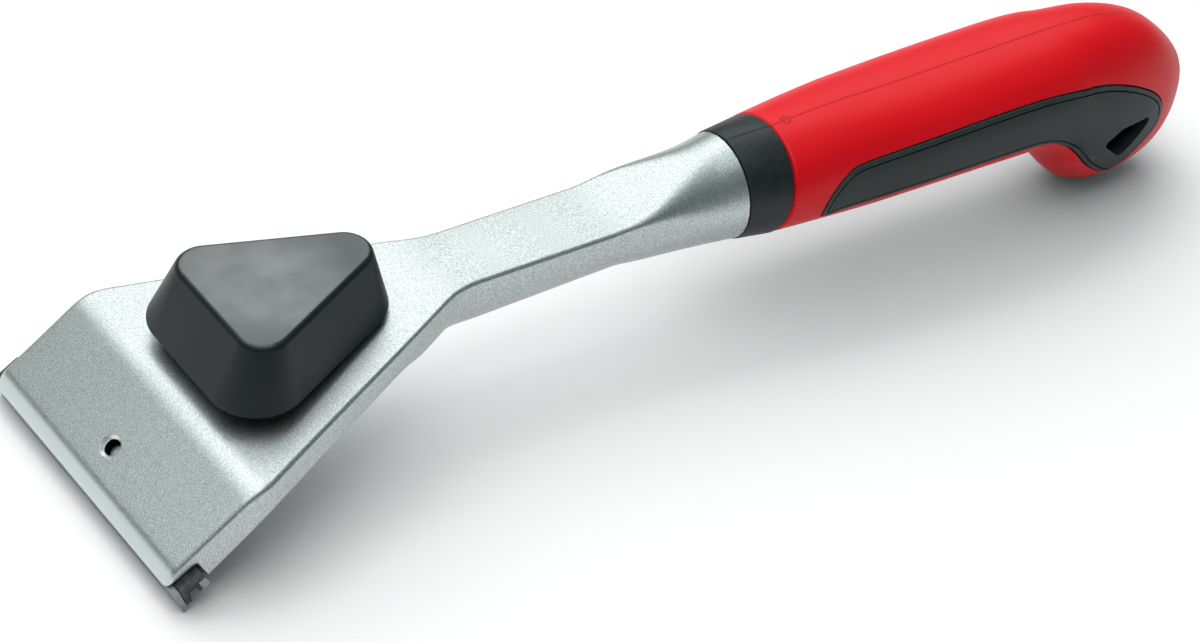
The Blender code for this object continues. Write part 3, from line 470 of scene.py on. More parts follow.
pedestal = ((PEDESTAL_RADIUS, boss_low / 2), (PEDESTAL_RADIUS, PEDESTAL_RISE))
boss = ((BOSS_RADIUS, boss_low), (BOSS_RADIUS, -GAP))
casting = carve(loft(rings), *cells, (ADD, turned(boss, knob_place)),
                (ADD, turned(pedestal, knob_place)), (CUT, turned(knob_bore, knob_place)),
                (CUT, turned(tapped_hole, screw_place)))

THREAD_STEPS = 40
thread_tree = bpy.data.node_groups.new("thread", "GeometryNodeTree")
thread_tree.interface.new_socket(name="Geometry", in_out="OUTPUT", socket_type="NodeSocketGeometry")
thread_sockets = []
for label in ("Radius", "Pitch", "Turns", "Depth", "Finish"):
    kind = "NodeSocketMaterial" if label == "Finish" else "NodeSocketFloat"
    socket = thread_tree.interface.new_socket(name=label, in_out="INPUT", socket_type=kind)
    thread_sockets.append(socket.identifier)
entry = thread_tree.nodes.new("NodeGroupInput")
spiral = thread_tree.nodes.new("GeometryNodeCurveSpiral")
spiral.inputs["Resolution"].default_value = THREAD_STEPS
rise = thread_tree.nodes.new("ShaderNodeMath")
rise.operation = "MULTIPLY"
section = thread_tree.nodes.new("GeometryNodeCurvePrimitiveCircle")
section.inputs["Resolution"].default_value = 4
sweep = thread_tree.nodes.new("GeometryNodeCurveToMesh")
sweep.inputs["Fill Caps"].default_value = True
realize = thread_tree.nodes.new("GeometryNodeRealizeInstances")
paint = thread_tree.nodes.new("GeometryNodeSetMaterial")
leave = thread_tree.nodes.new("NodeGroupOutput")
for source, target in (
        (entry.outputs["Pitch"], rise.inputs[0]), (entry.outputs["Turns"], rise.inputs[1]),
        (entry.outputs["Radius"], spiral.inputs["Start Radius"]),
        (entry.outputs["Radius"], spiral.inputs["End Radius"]),
        (entry.outputs["Turns"], spiral.inputs["Rotations"]),
        (rise.outputs[0], spiral.inputs["Height"]),
        (entry.outputs["Depth"], section.inputs["Radius"]),
        (spiral.outputs["Curve"], sweep.inputs["Curve"]),
        (section.outputs["Curve"], sweep.inputs["Profile Curve"]),
        (sweep.outputs["Mesh"], realize.inputs["Geometry"]),
        (realize.outputs["Geometry"], paint.inputs["Geometry"]),
        (entry.outputs["Finish"], paint.inputs["Material"]),
        (paint.outputs["Geometry"], leave.inputs["Geometry"])):
    thread_tree.links.new(source, target)


def thread(radius, pitch, turns, depth, start, place, finish):
    """The helical ridge of a thread, from a start height along the screw's own axis."""
    carrier = new_object("thread", bpy.data.meshes.new("empty"))
    wound = carrier.modifiers.new("thread", "NODES")
    wound.node_group = thread_tree
    for socket, value in zip(thread_sockets, (radius, pitch, turns, depth, finish)):
        wound[socket] = value
    depsgraph = bpy.context.evaluated_depsgraph_get()
    mesh = bpy.data.meshes.new_from_object(carrier.evaluated_get(depsgraph))
    bpy.data.objects.remove(carrier)
    mesh.transform(place @ Matrix.Translation((0, 0, start)))
    return mesh


def linear(red, green, blue):
    """A screen colour, 0 to 255, as a linear one."""
    shares = [value / 255 for value in (red, green, blue)]
    dark = 0.04045
    return tuple(s / 12.92 if s <= dark else ((s + 0.055) / 1.055) ** 2.4 for s in shares) + (1,)


def new_group(name, inputs, outputs):
    """An empty shader group with named sockets, and its input and output nodes."""
    tree = bpy.data.node_groups.new(name, "ShaderNodeTree")
    number = "NodeSocketFloat"
    for label, value in inputs.items():
        socket = tree.interface.new_socket(name=label, in_out="INPUT", socket_type=number)
        socket.default_value = value
    for label in outputs:
        tree.interface.new_socket(name=label, in_out="OUTPUT", socket_type=number)
    return tree, tree.nodes.new("NodeGroupInput"), tree.nodes.new("NodeGroupOutput")


def object_place(tree):
    """The place on the object that is being shaded."""
    return tree.nodes.new("ShaderNodeTexCoord").outputs["Object"]


def noise(tree, size, detail=2.0, vector=None):
    """Noise on the object's own coordinates, its grain given as a size in metres."""
    node = tree.nodes.new("ShaderNodeTexNoise")
    node.inputs["Detail"].default_value = detail
    tree.links.new(vector or object_place(tree), node.inputs["Vector"])
    from_socket = isinstance(size, bpy.types.NodeSocket)
    scale = calculate(tree, "DIVIDE", 1.0, size) if from_socket else 1 / size
    feed(tree, scale, node.inputs["Scale"])
    return node.outputs["Fac"]


grain_group, entry, leave = new_group("surface_grain", {"Grain Size": 0.0004, "Patch Size": 0.012},
                                      ("Height", "Patches"))
grain_group.links.new(noise(grain_group, entry.outputs["Grain Size"], 3.0), leave.inputs["Height"])
grain_group.links.new(noise(grain_group, entry.outputs["Patch Size"], 4.0), leave.inputs["Patches"])

edge_group, entry, leave = new_group("edge_wear", {"Start": 0.52, "End": 0.6}, ("Mask",))
pointed = edge_group.nodes.new("ShaderNodeNewGeometry").outputs["Pointiness"]
span = calculate(edge_group, "SUBTRACT", entry.outputs["End"], entry.outputs["Start"])
rise = calculate(edge_group, "SUBTRACT", pointed, entry.outputs["Start"])
raw = stretch(edge_group, calculate(edge_group, "DIVIDE", rise, span), 0, 1)
broken = stretch(edge_group, noise(edge_group, 0.0015, 3.0), 0.35, 0.6, 0.3, 1.0)
edge_group.links.new(calculate(edge_group, "MULTIPLY", raw, broken), leave.inputs["Mask"])

flake_group, entry, leave = new_group("metal_flake", {"Flake Size": 0.00012}, ("Height",))
scales = flake_group.nodes.new("ShaderNodeTexVoronoi")
flake_group.links.new(object_place(flake_group), scales.inputs["Vector"])
fineness = calculate(flake_group, "DIVIDE", 1.0, entry.outputs["Flake Size"])
flake_group.links.new(fineness, scales.inputs["Scale"])
chances = flake_group.nodes.new("ShaderNodeSeparateColor")
flake_group.links.new(scales.outputs["Color"], chances.inputs[0])
flake_group.links.new(chances.outputs[1], leave.inputs["Height"])


def axes(tree, vector):
    """The X, Y and Z of a vector, as sockets."""
    node = tree.nodes.new("ShaderNodeSeparateXYZ")
    tree.links.new(vector, node.inputs[0])
    return node.outputs


def middle_line(tree, reach):
    """A mask for a thin line along the tool's middle plane, where a mould closes."""
    aside = calculate(tree, "ABSOLUTE", axes(tree, object_place(tree))["Y"])
    return stretch(tree, aside, reach / 2, reach, 1, 0)


def seen_from(tree, place):
    """The object's coordinates along a piece's own axes."""
    back = place.inverted()
    node = tree.nodes.new("ShaderNodeMapping")
    node.inputs["Location"].default_value = back.translation
    node.inputs["Rotation"].default_value = back.to_euler()
    tree.links.new(object_place(tree), node.inputs["Vector"])
    return node.outputs["Vector"]


def ground_lines(tree, size, share):
    """Noise drawn out along Y into fine grinding lines."""
    node = tree.nodes.new("ShaderNodeMapping")
    node.inputs["Scale"].default_value = (1, share, 1)
    tree.links.new(object_place(tree), node.inputs["Vector"])
    return noise(tree, size, 2.0, node.outputs["Vector"])


def new_finish(name, roughness, metallic, colour, **fixed):
    """A material with one Principled shader whose even values stand on its own sockets."""
    made = bpy.data.materials.new(name)
    made.use_nodes = True
    shader = made.node_tree.nodes["Principled BSDF"]
    shader.inputs["Base Color"].default_value = colour
    shader.inputs["Roughness"].default_value = roughness
    shader.inputs["Metallic"].default_value = metallic
    for label, value in fixed.items():
        shader.inputs[label.replace("_", " ").title().replace("Ior", "IOR")].default_value = value
    return made, made.node_tree, shader


def use_group(tree, group, **values):
    """A group placed in a material with its own values, as the group's outputs."""
    node = tree.nodes.new("ShaderNodeGroup")
    node.node_tree = group
    for label, value in values.items():
        node.inputs[label.replace("_", " ").title()].default_value = value
    return node.outputs


def emboss(tree, shader, height, distance, below=None):
    """A Bump node from a height, its full depth in metres, over another normal."""
    node = tree.nodes.new("ShaderNodeBump")
    node.inputs["Distance"].default_value = distance
    tree.links.new(height, node.inputs["Height"])
    if below is not None:
        tree.links.new(below, node.inputs["Normal"])
    tree.links.new(node.outputs["Normal"], shader.inputs["Normal"])
    return node.outputs["Normal"]


def merged(node):
    """A copy of a CAD solid's mesh with its doubled vertices merged."""
    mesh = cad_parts[node].data.copy()
    shape = bmesh.new()
    shape.from_mesh(mesh)
    bmesh.ops.remove_doubles(shape, verts=shape.verts, dist=0.000002)
    bmesh.ops.dissolve_limit(shape, angle_limit=math.radians(0.3), verts=shape.verts,
                             edges=shape.edges)
    shape.to_mesh(mesh)
    shape.free()
    return mesh


def dress(name, mesh, node, body, finish, edge=0.0, segments=2):
    """A visible piece that stands for a CAD solid, shaded smooth, its sharp edges rounded."""
    mesh.materials.clear()
    mesh.materials.append(finish)
    mesh.shade_smooth()
    mesh.set_sharp_from_angle(angle=SHARP)
    made = new_object(name, mesh)
    if edge:
        rounding = made.modifiers.new("edges", "BEVEL")
        rounding.width = edge
        rounding.segments = segments
        rounding.limit_method = "ANGLE"
        rounding.angle_limit = SHARP
        rounding.harden_normals = True
    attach(made, body)
    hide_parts(node)


silver, tree, shader = new_finish("silver_paint", 0.38, 0.92, linear(190, 202, 200))
grain = use_group(tree, grain_group, grain_size=0.00022, patch_size=0.02)
flakes = use_group(tree, flake_group, flake_size=0.00016)
speck = stretch(tree, grain["Height"], 0.36, 0.64)
flaked = mix_colours(tree, speck, linear(158, 168, 167), linear(215, 222, 221))
along = axes(tree, object_place(tree))["X"]
ground = stretch(tree, along, TOOL_START + 0.0007, TOOL_START + 0.0013, 1, 0)
lines = ground_lines(tree, 0.00022, 0.012)
brushed = mix_colours(tree, lines, linear(192, 205, 202), linear(220, 230, 227))
painted = mix_colours(tree, ground, flaked, brushed)
# Inside the tapped hole, below its chamfer, the colour is painted near black as shade for the
# recess, and its chamfer was cut bright afterwards.
bore = axes(tree, seen_from(tree, screw_place))
squares = [calculate(tree, "MULTIPLY", bore[axis], bore[axis]) for axis in ("X", "Y")]
reach = calculate(tree, "SQRT", calculate(tree, "ADD", *squares))
within = stretch(tree, reach, 0.00206, 0.0021, 1, 0)
deep = stretch(tree, bore["Z"], apron_rise - 0.0008, apron_rise - BORE_CHAMFER, 1, 0)
painted_hole_shade = calculate(tree, "MULTIPLY", within, deep)
bevel = calculate(tree, "MULTIPLY", stretch(tree, reach, BORE_MOUTH, BORE_MOUTH + 0.00004, 1, 0),
                  stretch(tree, bore["Z"], apron_rise - 0.0001, apron_rise - 0.00004, 1, 0))
bare = mix_colours(tree, bevel, painted, linear(242, 246, 245))
# Painted shade: the bore's paint and thread turn near black below the chamfer.
tree.links.new(mix_colours(tree, painted_hole_shade, bare, linear(24, 28, 28)), shader.inputs["Base Color"])
tree.links.new(stretch(tree, grain["Patches"], 0.3, 0.7, 0.36, 0.41), shader.inputs["Roughness"])
even = calculate(tree, "SUBTRACT", 1.0, ground)
flake_normal = emboss(tree, shader, calculate(tree, "MULTIPLY", flakes["Height"], even), 0.000006)
emboss(tree, shader, calculate(tree, "MULTIPLY", grain["Height"], even), 0.000014,
       below=flake_normal)
hole_thread = thread(BORE_RADIUS, CLAMP_PITCH, 1.8, 0.0002, apron_rise - 0.0019, screw_place,
                     silver)
head = joined(casting, hole_thread)
dress("cast_head", head, "head_casting", "scraper", silver)


def grained(name, roughness, metallic, colour, grain_size, patch_size, tones, gloss, relief,
            **fixed):
    """A finish with a fine grain in low relief, its tone and gloss drifting in patches."""
    made, tree, shader = new_finish(name, roughness, metallic, linear(*colour), **fixed)
    grain = use_group(tree, grain_group, grain_size=grain_size, patch_size=patch_size)
    tree.links.new(stretch(tree, grain["Patches"], 0.3, 0.7, *gloss), shader.inputs["Roughness"])
    toned = mix_colours(tree, grain["Patches"], linear(*tones[0]), linear(*tones[1]))
    tree.links.new(toned, shader.inputs["Base Color"])
    return made, tree, shader, emboss(tree, shader, grain["Height"], relief), toned


def rub(tree, shader, colour, bare, end=0.58, start=0.52):
    """Wears a colour to a barer one along the edges, on the shader."""
    worn = use_group(tree, edge_group, start=start, end=end)
    rubbed = mix_colours(tree, worn["Mask"], colour, linear(*bare))
    tree.links.new(rubbed, shader.inputs["Base Color"])
    return rubbed


# Blade
# A hard steel bar with a channel along its underside, blackened, and a ground carbide strip
# brazed along each long edge.
black_oxide, tree, shader, relief, toned = grained(
    "black_oxide", 0.5, 0.0, (26, 28, 28), grain_size=0.00016, patch_size=0.006,
    tones=((14, 17, 17), (23, 27, 27)), gloss=(0.45, 0.52), relief=0.000006, ior=1.4)
rub(tree, shader, toned, (84, 88, 87), 0.56)
dress("blade_bar", merged("blade_body"), "blade_body", "blade", black_oxide,
      0.0001)

ground_carbide, tree, shader = new_finish("ground_carbide", 0.3, 0.9, linear(142, 150, 150))
lines = ground_lines(tree, 0.00008, 0.02)
grain = use_group(tree, grain_group, grain_size=0.00015, patch_size=0.003)
tree.links.new(mix_colours(tree, grain["Patches"], linear(124, 132, 132), linear(166, 172, 172)),
               shader.inputs["Base Color"])
tree.links.new(stretch(tree, lines, 0.3, 0.7, 0.24, 0.38), shader.inputs["Roughness"])
emboss(tree, shader, lines, 0.000008)
for name, node in (("carbide_front", "blade_edge_front"), ("carbide_rear", "blade_edge_rear")):
    dress(name, merged(node), node, "blade", ground_carbide)

# Clamp
# A folded steel plate whose lip pulls the blade up against the seat, drawn by one screw
# with a washer under its head.
BLADE_REAR_HEIGHT = 0.0037
FRONT_LEG_RISE = 0.0004
CLAMP_THICKNESS = 0.0018
CLAMP_WASHER_THICKNESS = 0.0006
CLAMP_SCREW_SINK = 0.0024
SOCKET_SHARE = 0.45
SOCKET_DEPTH_SHARE = 0.6
DOME_STEPS = 8
zinc, tree, shader, relief, toned = grained(
    "zinc_plate", 0.28, 1.0, (196, 198, 194), grain_size=0.00012, patch_size=0.003,
    tones=((178, 182, 184), (212, 210, 200)), gloss=(0.22, 0.38), relief=0.000006)
rub(tree, shader, toned, (226, 226, 222))
dress("clamp_strip", merged("clamp_plate"), "clamp_plate", "clamp", black_oxide)
dress("clamp_ring", merged("clamp_washer"), "clamp_washer", "clamp", zinc, 0.00008)


def screw(radius, depth, pitch, head_radius, head_height, head_top, tip, place, finish):
    """A pan-head screw about Z with a six-sided socket, its head below and its thread up."""
    low = head_top - head_height
    dome = head_height / 4
    core = radius - depth
    profile = [(head_radius - dome * 2, low)]
    for i in range(1, DOME_STEPS + 1):
        angle = math.pi / 2 * i / DOME_STEPS
        profile.append((head_radius - dome * 2 * (1 - math.sin(angle)),
                        low + dome * (1 - math.cos(angle))))
    profile += [(head_radius, head_top), (core, head_top), (core, tip - depth), (core - depth, tip)]
    across = head_radius * SOCKET_SHARE
    floor_height = low + head_height * SOCKET_DEPTH_SHARE
    socket = turned(((across, low - OVERRUN), (across, floor_height)), place, steps=6)
    body = carve(turned(profile, place), (CUT, socket))
    turns = (tip - head_top - depth * 3) / pitch
    return joined(body, thread(core, pitch, turns, depth, head_top + depth * 1.5, place, finish))


plate_top = -BLADE_REAR_HEIGHT - FRONT_LEG_RISE - GAP
clamp_head_top = plate_top - CLAMP_THICKNESS - GAP - CLAMP_WASHER_THICKNESS - GAP
clamp_bolt = screw(radius=0.0017, depth=0.00022, pitch=CLAMP_PITCH, head_radius=0.0033,
                   head_height=0.0019, head_top=clamp_head_top, tip=apron_rise - CLAMP_SCREW_SINK,
                   place=screw_place, finish=zinc)
dress("clamp_bolt", clamp_bolt, "clamp_screw", "clamp_screw", zinc)

# Front knob
# A hollow glass-filled moulding, satin black, with a rounded triangular outline. The two
# hands hold the tool by it and by the grip.
KNOB_HEIGHT = 0.01264
KNOB_FRONT_REACH = 0.0066
KNOB_HALF_SPREAD = 0.0099
KNOB_REAR_REACH = 0.0165
KNOB_BASE_RADIUS = 0.0097
KNOB_TAPER = 0.0045
KNOB_TOP_SHIFT = 0.0015
KNOB_TOP_EDGE = 0.001
KNOB_FOOT_EDGE = 0.0006
KNOB_WALL = 0.0022
KNOB_ROOF = 0.0026
KNOB_BOSS_RADIUS = 0.0062
KNOB_RIB_HALF = 0.0008
KNOB_CORNER_STEPS = 30
INSERT_POCKET = ((0.0043, -0.003), (0.0043, 0.0093))
knob_black, tree, shader, relief, toned = grained(
    "knob_black", 0.34, 0.0, (22, 31, 32), grain_size=0.00022, patch_size=0.01,
    tones=((13, 23, 24), (24, 35, 36)), gloss=(0.34, 0.44), relief=0.000012, ior=1.4,
    coat_roughness=0.26, coat_ior=2.05, coat_tint=linear(190, 230, 224))
rub(tree, shader, toned, (58, 66, 68))
# The mould's polished face leaves the top glossier, less toward its corners.
from_knob = seen_from(tree, knob_place)
height = axes(tree, from_knob)["Z"]
polished = stretch(tree, height, KNOB_HEIGHT - 0.00035, KNOB_HEIGHT - 0.00005)
marks = stretch(tree, noise(tree, 0.009, 3.0), 0.36, 0.62, 0.72, 1.0)
from_middle = tree.nodes.new("ShaderNodeVectorMath")
from_middle.operation = "LENGTH"
tree.links.new(from_knob, from_middle.inputs[0])
dished = stretch(tree, from_middle.outputs["Value"], 0.014, 0.022, 1.0, 0.55)
marks = calculate(tree, "MULTIPLY", marks, dished)
tree.links.new(calculate(tree, "MULTIPLY", polished, marks), shader.inputs["Coat Weight"])
knob_corners = (Vector((KNOB_REAR_REACH, 0)), Vector((-KNOB_FRONT_REACH, KNOB_HALF_SPREAD)),
                Vector((-KNOB_FRONT_REACH, -KNOB_HALF_SPREAD)))


def knob_ring(height, shrink):
    """The knob's outline at one height, round its three corner circles, set in by a wall."""
    share = height / KNOB_HEIGHT
    radius = KNOB_BASE_RADIUS - KNOB_TAPER * share - shrink
    ring = []
    for i, centre in enumerate(knob_corners):
        into = centre - knob_corners[i - 1]
        away = knob_corners[(i + 1) % 3] - centre
        start = math.atan2(-into.x, into.y)
        turn = (math.atan2(-away.x, away.y) - start) % (2 * math.pi)
        for step in range(KNOB_CORNER_STEPS + 1):
            angle = start + turn * step / KNOB_CORNER_STEPS
            ring.append((KNOB_TOP_SHIFT * share + centre.x + radius * math.cos(angle),
                         centre.y + radius * math.sin(angle), height))
    return ring


def knob_rim(height, edge, toward_middle):
    """Rings that round the foot of the knob, or its top where toward_middle is -1."""
    rings = []
    for i in range(FILLET_STEPS + 1):
        angle = math.pi / 2 * i / FILLET_STEPS
        rise = edge * (1 - math.cos(angle)) * toward_middle
        rings.append(knob_ring(height + rise, edge * (1 - math.sin(angle))))
    return rings[::toward_middle]


inner_boss = turned(((KNOB_BOSS_RADIUS, 0.001), (KNOB_BOSS_RADIUS, KNOB_HEIGHT)), knob_place)
inside = [knob_ring(height, KNOB_WALL) for height in (-OVERRUN, KNOB_HEIGHT - KNOB_ROOF)]
hollow = carve(loft(inside, knob_place), (CUT, inner_boss))
rib_section = ((-KNOB_RIB_HALF, KNOB_ROOF), (KNOB_RIB_HALF, KNOB_ROOF),
               (KNOB_RIB_HALF, KNOB_HEIGHT), (-KNOB_RIB_HALF, KNOB_HEIGHT))
for corner in knob_corners:
    along = Matrix.Rotation(math.atan2(corner.y, corner.x), 4, "Z")
    reach = corner.length + KNOB_BASE_RADIUS
    rib = [[(x, y, z) for y, z in rib_section] for x in (0, reach)]
    hollow = carve(hollow, (CUT, loft(rib, knob_place @ along)))
outside = knob_rim(0, KNOB_FOOT_EDGE, 1) + knob_rim(KNOB_HEIGHT, KNOB_TOP_EDGE, -1)
pocket = turned(INSERT_POCKET, knob_place)
shell = carve(loft(outside, knob_place), (CUT, hollow), (CUT, pocket))
dress("knob_cap", shell, "knob_shell", "knob", knob_black)

# Knob screw
# A pan-head screw that comes up through the head, with its washer, into a brass insert
# moulded in the knob's boss.
KNOB_PITCH = 0.001
KNOB_WASHER_THICKNESS = 0.0012
turned_brass = grained(
    "turned_brass", 0.32, 1.0, (214, 180, 108), grain_size=0.00015, patch_size=0.002,
    tones=((196, 160, 90), (226, 194, 124)), gloss=(0.26, 0.4), relief=0.000008)[0]
knob_bolt = screw(radius=0.003, depth=0.0004, pitch=KNOB_PITCH, head_radius=0.005,
                  head_height=0.003, head_top=boss_low - GAP - KNOB_WASHER_THICKNESS - GAP,
                  tip=0.0087, place=knob_place, finish=zinc)
dress("knob_bolt", knob_bolt, "knob_screw", "knob_screw", zinc)
dress("knob_ring", merged("knob_washer"), "knob_washer", "scraper", zinc, 0.0001)
dress("brass_insert", merged("knob_insert"), "knob_insert", "knob", turned_brass, 0.0001)

# Collar
# A dark moulded ring that closes the joint between the casting's flare and the grip.
# It is pushed over the core's nose and leans a little forward.
RING_STEPS = 96
REAR_LEAN = 0.15
COLLAR_LENGTH = 0.0083
COLLAR_EDGE = 0.0004
NOSE_OPENING = (0.0178, 0.0168)
collar_dark, tree, shader, relief, toned = grained(
    "collar_dark", 0.42, 0.0, (26, 33, 35), grain_size=0.0003, patch_size=0.006,
    tones=((19, 26, 28), (30, 38, 40)), gloss=(0.38, 0.5), relief=0.000014, ior=1.42)
seam = middle_line(tree, 0.0002)
rub(tree, shader, mix_colours(tree, seam, toned, linear(6, 8, 8)), (62, 70, 72))
emboss(tree, shader, seam, 0.0001, below=relief)


def oval_section(x, half_width, low, high, squareness=0.0, lean=0.0, pinch=0.0):
    """A ring across the grip: an ellipse, squarer with squareness, narrowed below with pinch."""
    middle = (low + high) / 2
    power = 2 / (2 + squareness)
    ring = []
    for i in range(RING_STEPS):
        cos, sin = math.cos(2 * math.pi * i / RING_STEPS), math.sin(2 * math.pi * i / RING_STEPS)
        y = half_width * math.copysign(abs(cos) ** power, cos) * (1 - pinch * min(0, sin) ** 2)
        z = middle + (high - low) / 2 * math.copysign(abs(sin) ** power, sin)
        ring.append((x + lean * (z - COLLAR_Z), y, z))
    return ring


collar_x = SHOULDER_X + GAP
rings = []
for x, width, height, lean in (
        (collar_x, 0.0208, 0.0218, FRONT_LEAN),
        (collar_x + COLLAR_EDGE, 0.0212, 0.0222, FRONT_LEAN),
        (collar_x + COLLAR_LENGTH, 0.0246, 0.0223, REAR_LEAN),
        (collar_x + COLLAR_LENGTH, *NOSE_OPENING, REAR_LEAN),
        (collar_x, *NOSE_OPENING, FRONT_LEAN)):
    low, high = COLLAR_Z - height / 2, COLLAR_Z + height / 2
    rings.append(oval_section(x, width / 2, low, high, lean=lean))
dress("neck_collar", loft(rings, wrapped=True), "collar", "scraper",
      collar_dark, 0.0002, 3)

# Grip core
# The hard inner moulding of the grip, shot over the tang. It shows only in the hanging hole
# and behind the panels.
core_black = grained(
    "core_black", 0.5, 0.0, (30, 32, 32), grain_size=0.0004, patch_size=0.005,
    tones=((24, 26, 26), (42, 44, 44)), gloss=(0.42, 0.58), relief=0.00002)[0]
dress("hard_core", merged("grip_core"), "grip_core", "scraper", core_black)

# Grip skin
# The red outer shot of the grip, satin, with the hook at its end and a window in each side.
# A mould seam runs along the middle of its top.
GATE_MARK = (0.0240, 0.0, 0.0382)
GATE_RADIUS = 0.00105
red_skin, tree, shader, relief, toned = grained(
    "red_skin", 0.4, 0.0, (238, 5, 22), grain_size=0.0003, patch_size=0.015,
    tones=((243, 2, 20), (248, 7, 30)), gloss=(0.4, 0.48), relief=0.000012, ior=1.36)
seam = middle_line(tree, 0.00016)
off_gate = tree.nodes.new("ShaderNodeVectorMath")
off_gate.operation = "DISTANCE"
off_gate.inputs[1].default_value = GATE_MARK
tree.links.new(object_place(tree), off_gate.inputs[0])
ring = calculate(tree, "SUBTRACT", off_gate.outputs["Value"], GATE_RADIUS)
ring = stretch(tree, calculate(tree, "ABSOLUTE", ring), 0.0001, 0.00022, 1, 0)
seam = calculate(tree, "MAXIMUM", seam, ring)
lined = mix_colours(tree, calculate(tree, "MULTIPLY", seam, 0.5), toned, linear(150, 0, 10))
rubbed = rub(tree, shader, lined, (238, 40, 50), 0.6, 0.53)
# The light that the skin gives to its surroundings is grey, as none of them look red in the photo.
bounced = tree.nodes.new("ShaderNodeLightPath").outputs["Is Diffuse Ray"]
tree.links.new(mix_colours(tree, bounced, rubbed, linear(90, 90, 90)), shader.inputs["Base Color"])
emboss(tree, shader, seam, 0.00008, below=relief)
GRIP_X = collar_x + COLLAR_LENGTH + GAP
GRIP_LENGTH = 0.1098
GRIP_HEIGHT = 0.0408
GRIP_HALF_WIDTH = 0.0143
GRIP_EDGE = 0.0008
GRIP_FRONT_SHARE = 0.2
GRIP_SQUARENESS = 0.35
SKIN_DEPTH = 0.0026
BEAK_SHARE = 0.56
HOOK_SHARE = 0.75
HOOK_PINCH = 0.25
CURVE_STEPS = 16
SHAFT_STEPS = 24
HOOK_STEPS = 30
PANEL_CURVE_STEPS = 10
grip_side_shares = (
    (0.000, 0.946), (0.136, 0.968), (0.300, 0.974), (0.543, 0.995), (0.661, 1.000), (0.763, 0.982),
    (0.868, 0.876), (0.951, 0.662), (0.985, 0.450), (0.975, 0.280), (0.930, 0.120), (0.862, 0.023),
    (0.788, 0.000), (0.720, 0.054), (0.672, 0.178), (0.641, 0.321), (0.589, 0.405), (0.498, 0.422),
    (0.317, 0.425), (0.136, 0.410), (0.000, 0.408),
)
grip_plan_shares = (
    (0.000, 0.875), (0.136, 0.925), (0.300, 0.985), (0.420, 1.000), (0.550, 1.000), (0.680, 0.980),
    (0.800, 0.900), (0.890, 0.735), (0.945, 0.510), (0.985, 0.250), (1.000, 0.050),
)
panel_shares = (
    (0.080, 0.548), (0.072, 0.625), (0.082, 0.705), (0.108, 0.778), (0.150, 0.820), (0.300, 0.845),
    (0.470, 0.862), (0.590, 0.858), (0.690, 0.818), (0.770, 0.750), (0.840, 0.645), (0.880, 0.530),
    (0.882, 0.405), (0.845, 0.300), (0.815, 0.205), (0.792, 0.155), (0.758, 0.195), (0.708, 0.305),
    (0.648, 0.470), (0.570, 0.575), (0.460, 0.590), (0.280, 0.580), (0.130, 0.562),
)


def inset(outline, distance):
    """A closed outline moved inward, or outward where the distance is below zero."""
    area = sum(a[0] * b[1] - b[0] * a[1] for a, b in zip(outline, outline[1:] + outline[:1]))
    moved = []
    for i, point in enumerate(outline):
        into = (Vector(point) - Vector(outline[i - 1])).normalized()
        away = (Vector(outline[(i + 1) % len(outline)]) - Vector(point)).normalized()
        normal = Vector((-into.y - away.y, into.x + away.x)).normalized() * math.copysign(1, area)
        spread = max(0.5, math.cos(into.angle(away) / 2))
        moved.append(tuple(Vector(point) + normal * distance / spread))
    return moved


def curve_through(points, steps, closed=False):
    """A smooth curve through points, with evenly spaced steps between each two."""
    curve = []
    last = len(points) - 1
    for i in range(last + 1 if closed else last):
        a, b = Vector(points[i]), Vector(points[(i + 1) % len(points)])
        before = Vector(points[i - 1]) if i or closed else a * 2 - b
        after = Vector(points[(i + 2) % len(points)]) if i + 2 <= last or closed else b * 2 - a
        for step in range(steps):
            t = step / steps
            slope = (b - before) * t + (before * 2 - a * 5 + b * 4 - after) * t ** 2
            curve.append(tuple(a + (slope + (a * 3 - before - b * 3 + after) * t ** 3) / 2))
    return curve if closed else curve + [tuple(points[-1])]


def span_at(outline, x):
    """The lowest and highest height of a closed outline at one x."""
    inside = min(max(x, min(p[0] for p in outline)), max(p[0] for p in outline))
    heights = []
    for (x0, z0), (x1, z1) in zip(outline, outline[1:] + outline[:1]):
        if min(x0, x1) <= inside <= max(x0, x1):
            heights.append(z0 + (z1 - z0) * ((inside - x0) / (x1 - x0) if x1 != x0 else 0))
    return min(heights), max(heights)


side_points = [(x * GRIP_LENGTH, z * GRIP_HEIGHT) for x, z in grip_side_shares]
side_curve = curve_through(side_points, CURVE_STEPS)
lowest = min(side_curve, key=lambda point: point[1])
tallest = max(point[1] for point in side_curve) - lowest[1]
rearmost = max(point[0] for point in side_curve)
side_curve = [(x * GRIP_LENGTH / rearmost, (z - lowest[1]) * GRIP_HEIGHT / tallest)
              for x, z in side_curve]
plan_points = [(x * GRIP_LENGTH, y * GRIP_HALF_WIDTH) for x, y in grip_plan_shares]
plan_edge = curve_through(plan_points, CURVE_STEPS)
plan_curve = plan_edge + [(x, -y) for x, y in reversed(plan_edge)]
beak_x = BEAK_SHARE * GRIP_LENGTH
hook_x = lowest[0] * GRIP_LENGTH / rearmost


def grip_ring(side, plan, x, grow=0.0):
    """The ring at one place along the grip: leaning and oval in front, pinched at the hook."""
    first = min(point[0] for point in side) + GRIP_EDGE
    last = min(max(point[0] for point in outline) for outline in (side, plan)) * 0.9995
    place = min(max(x, first), last)
    low, high = span_at(side, place)
    front = max(0, 1 - x / GRIP_LENGTH / GRIP_FRONT_SHARE)
    hook = share_between(x, beak_x, HOOK_SHARE * GRIP_LENGTH)
    return oval_section(GRIP_X + x, span_at(plan, place)[1] + grow, low - grow, high + grow,
                        GRIP_SQUARENESS * (1 - front), REAR_LEAN * front, HOOK_PINCH * hook)


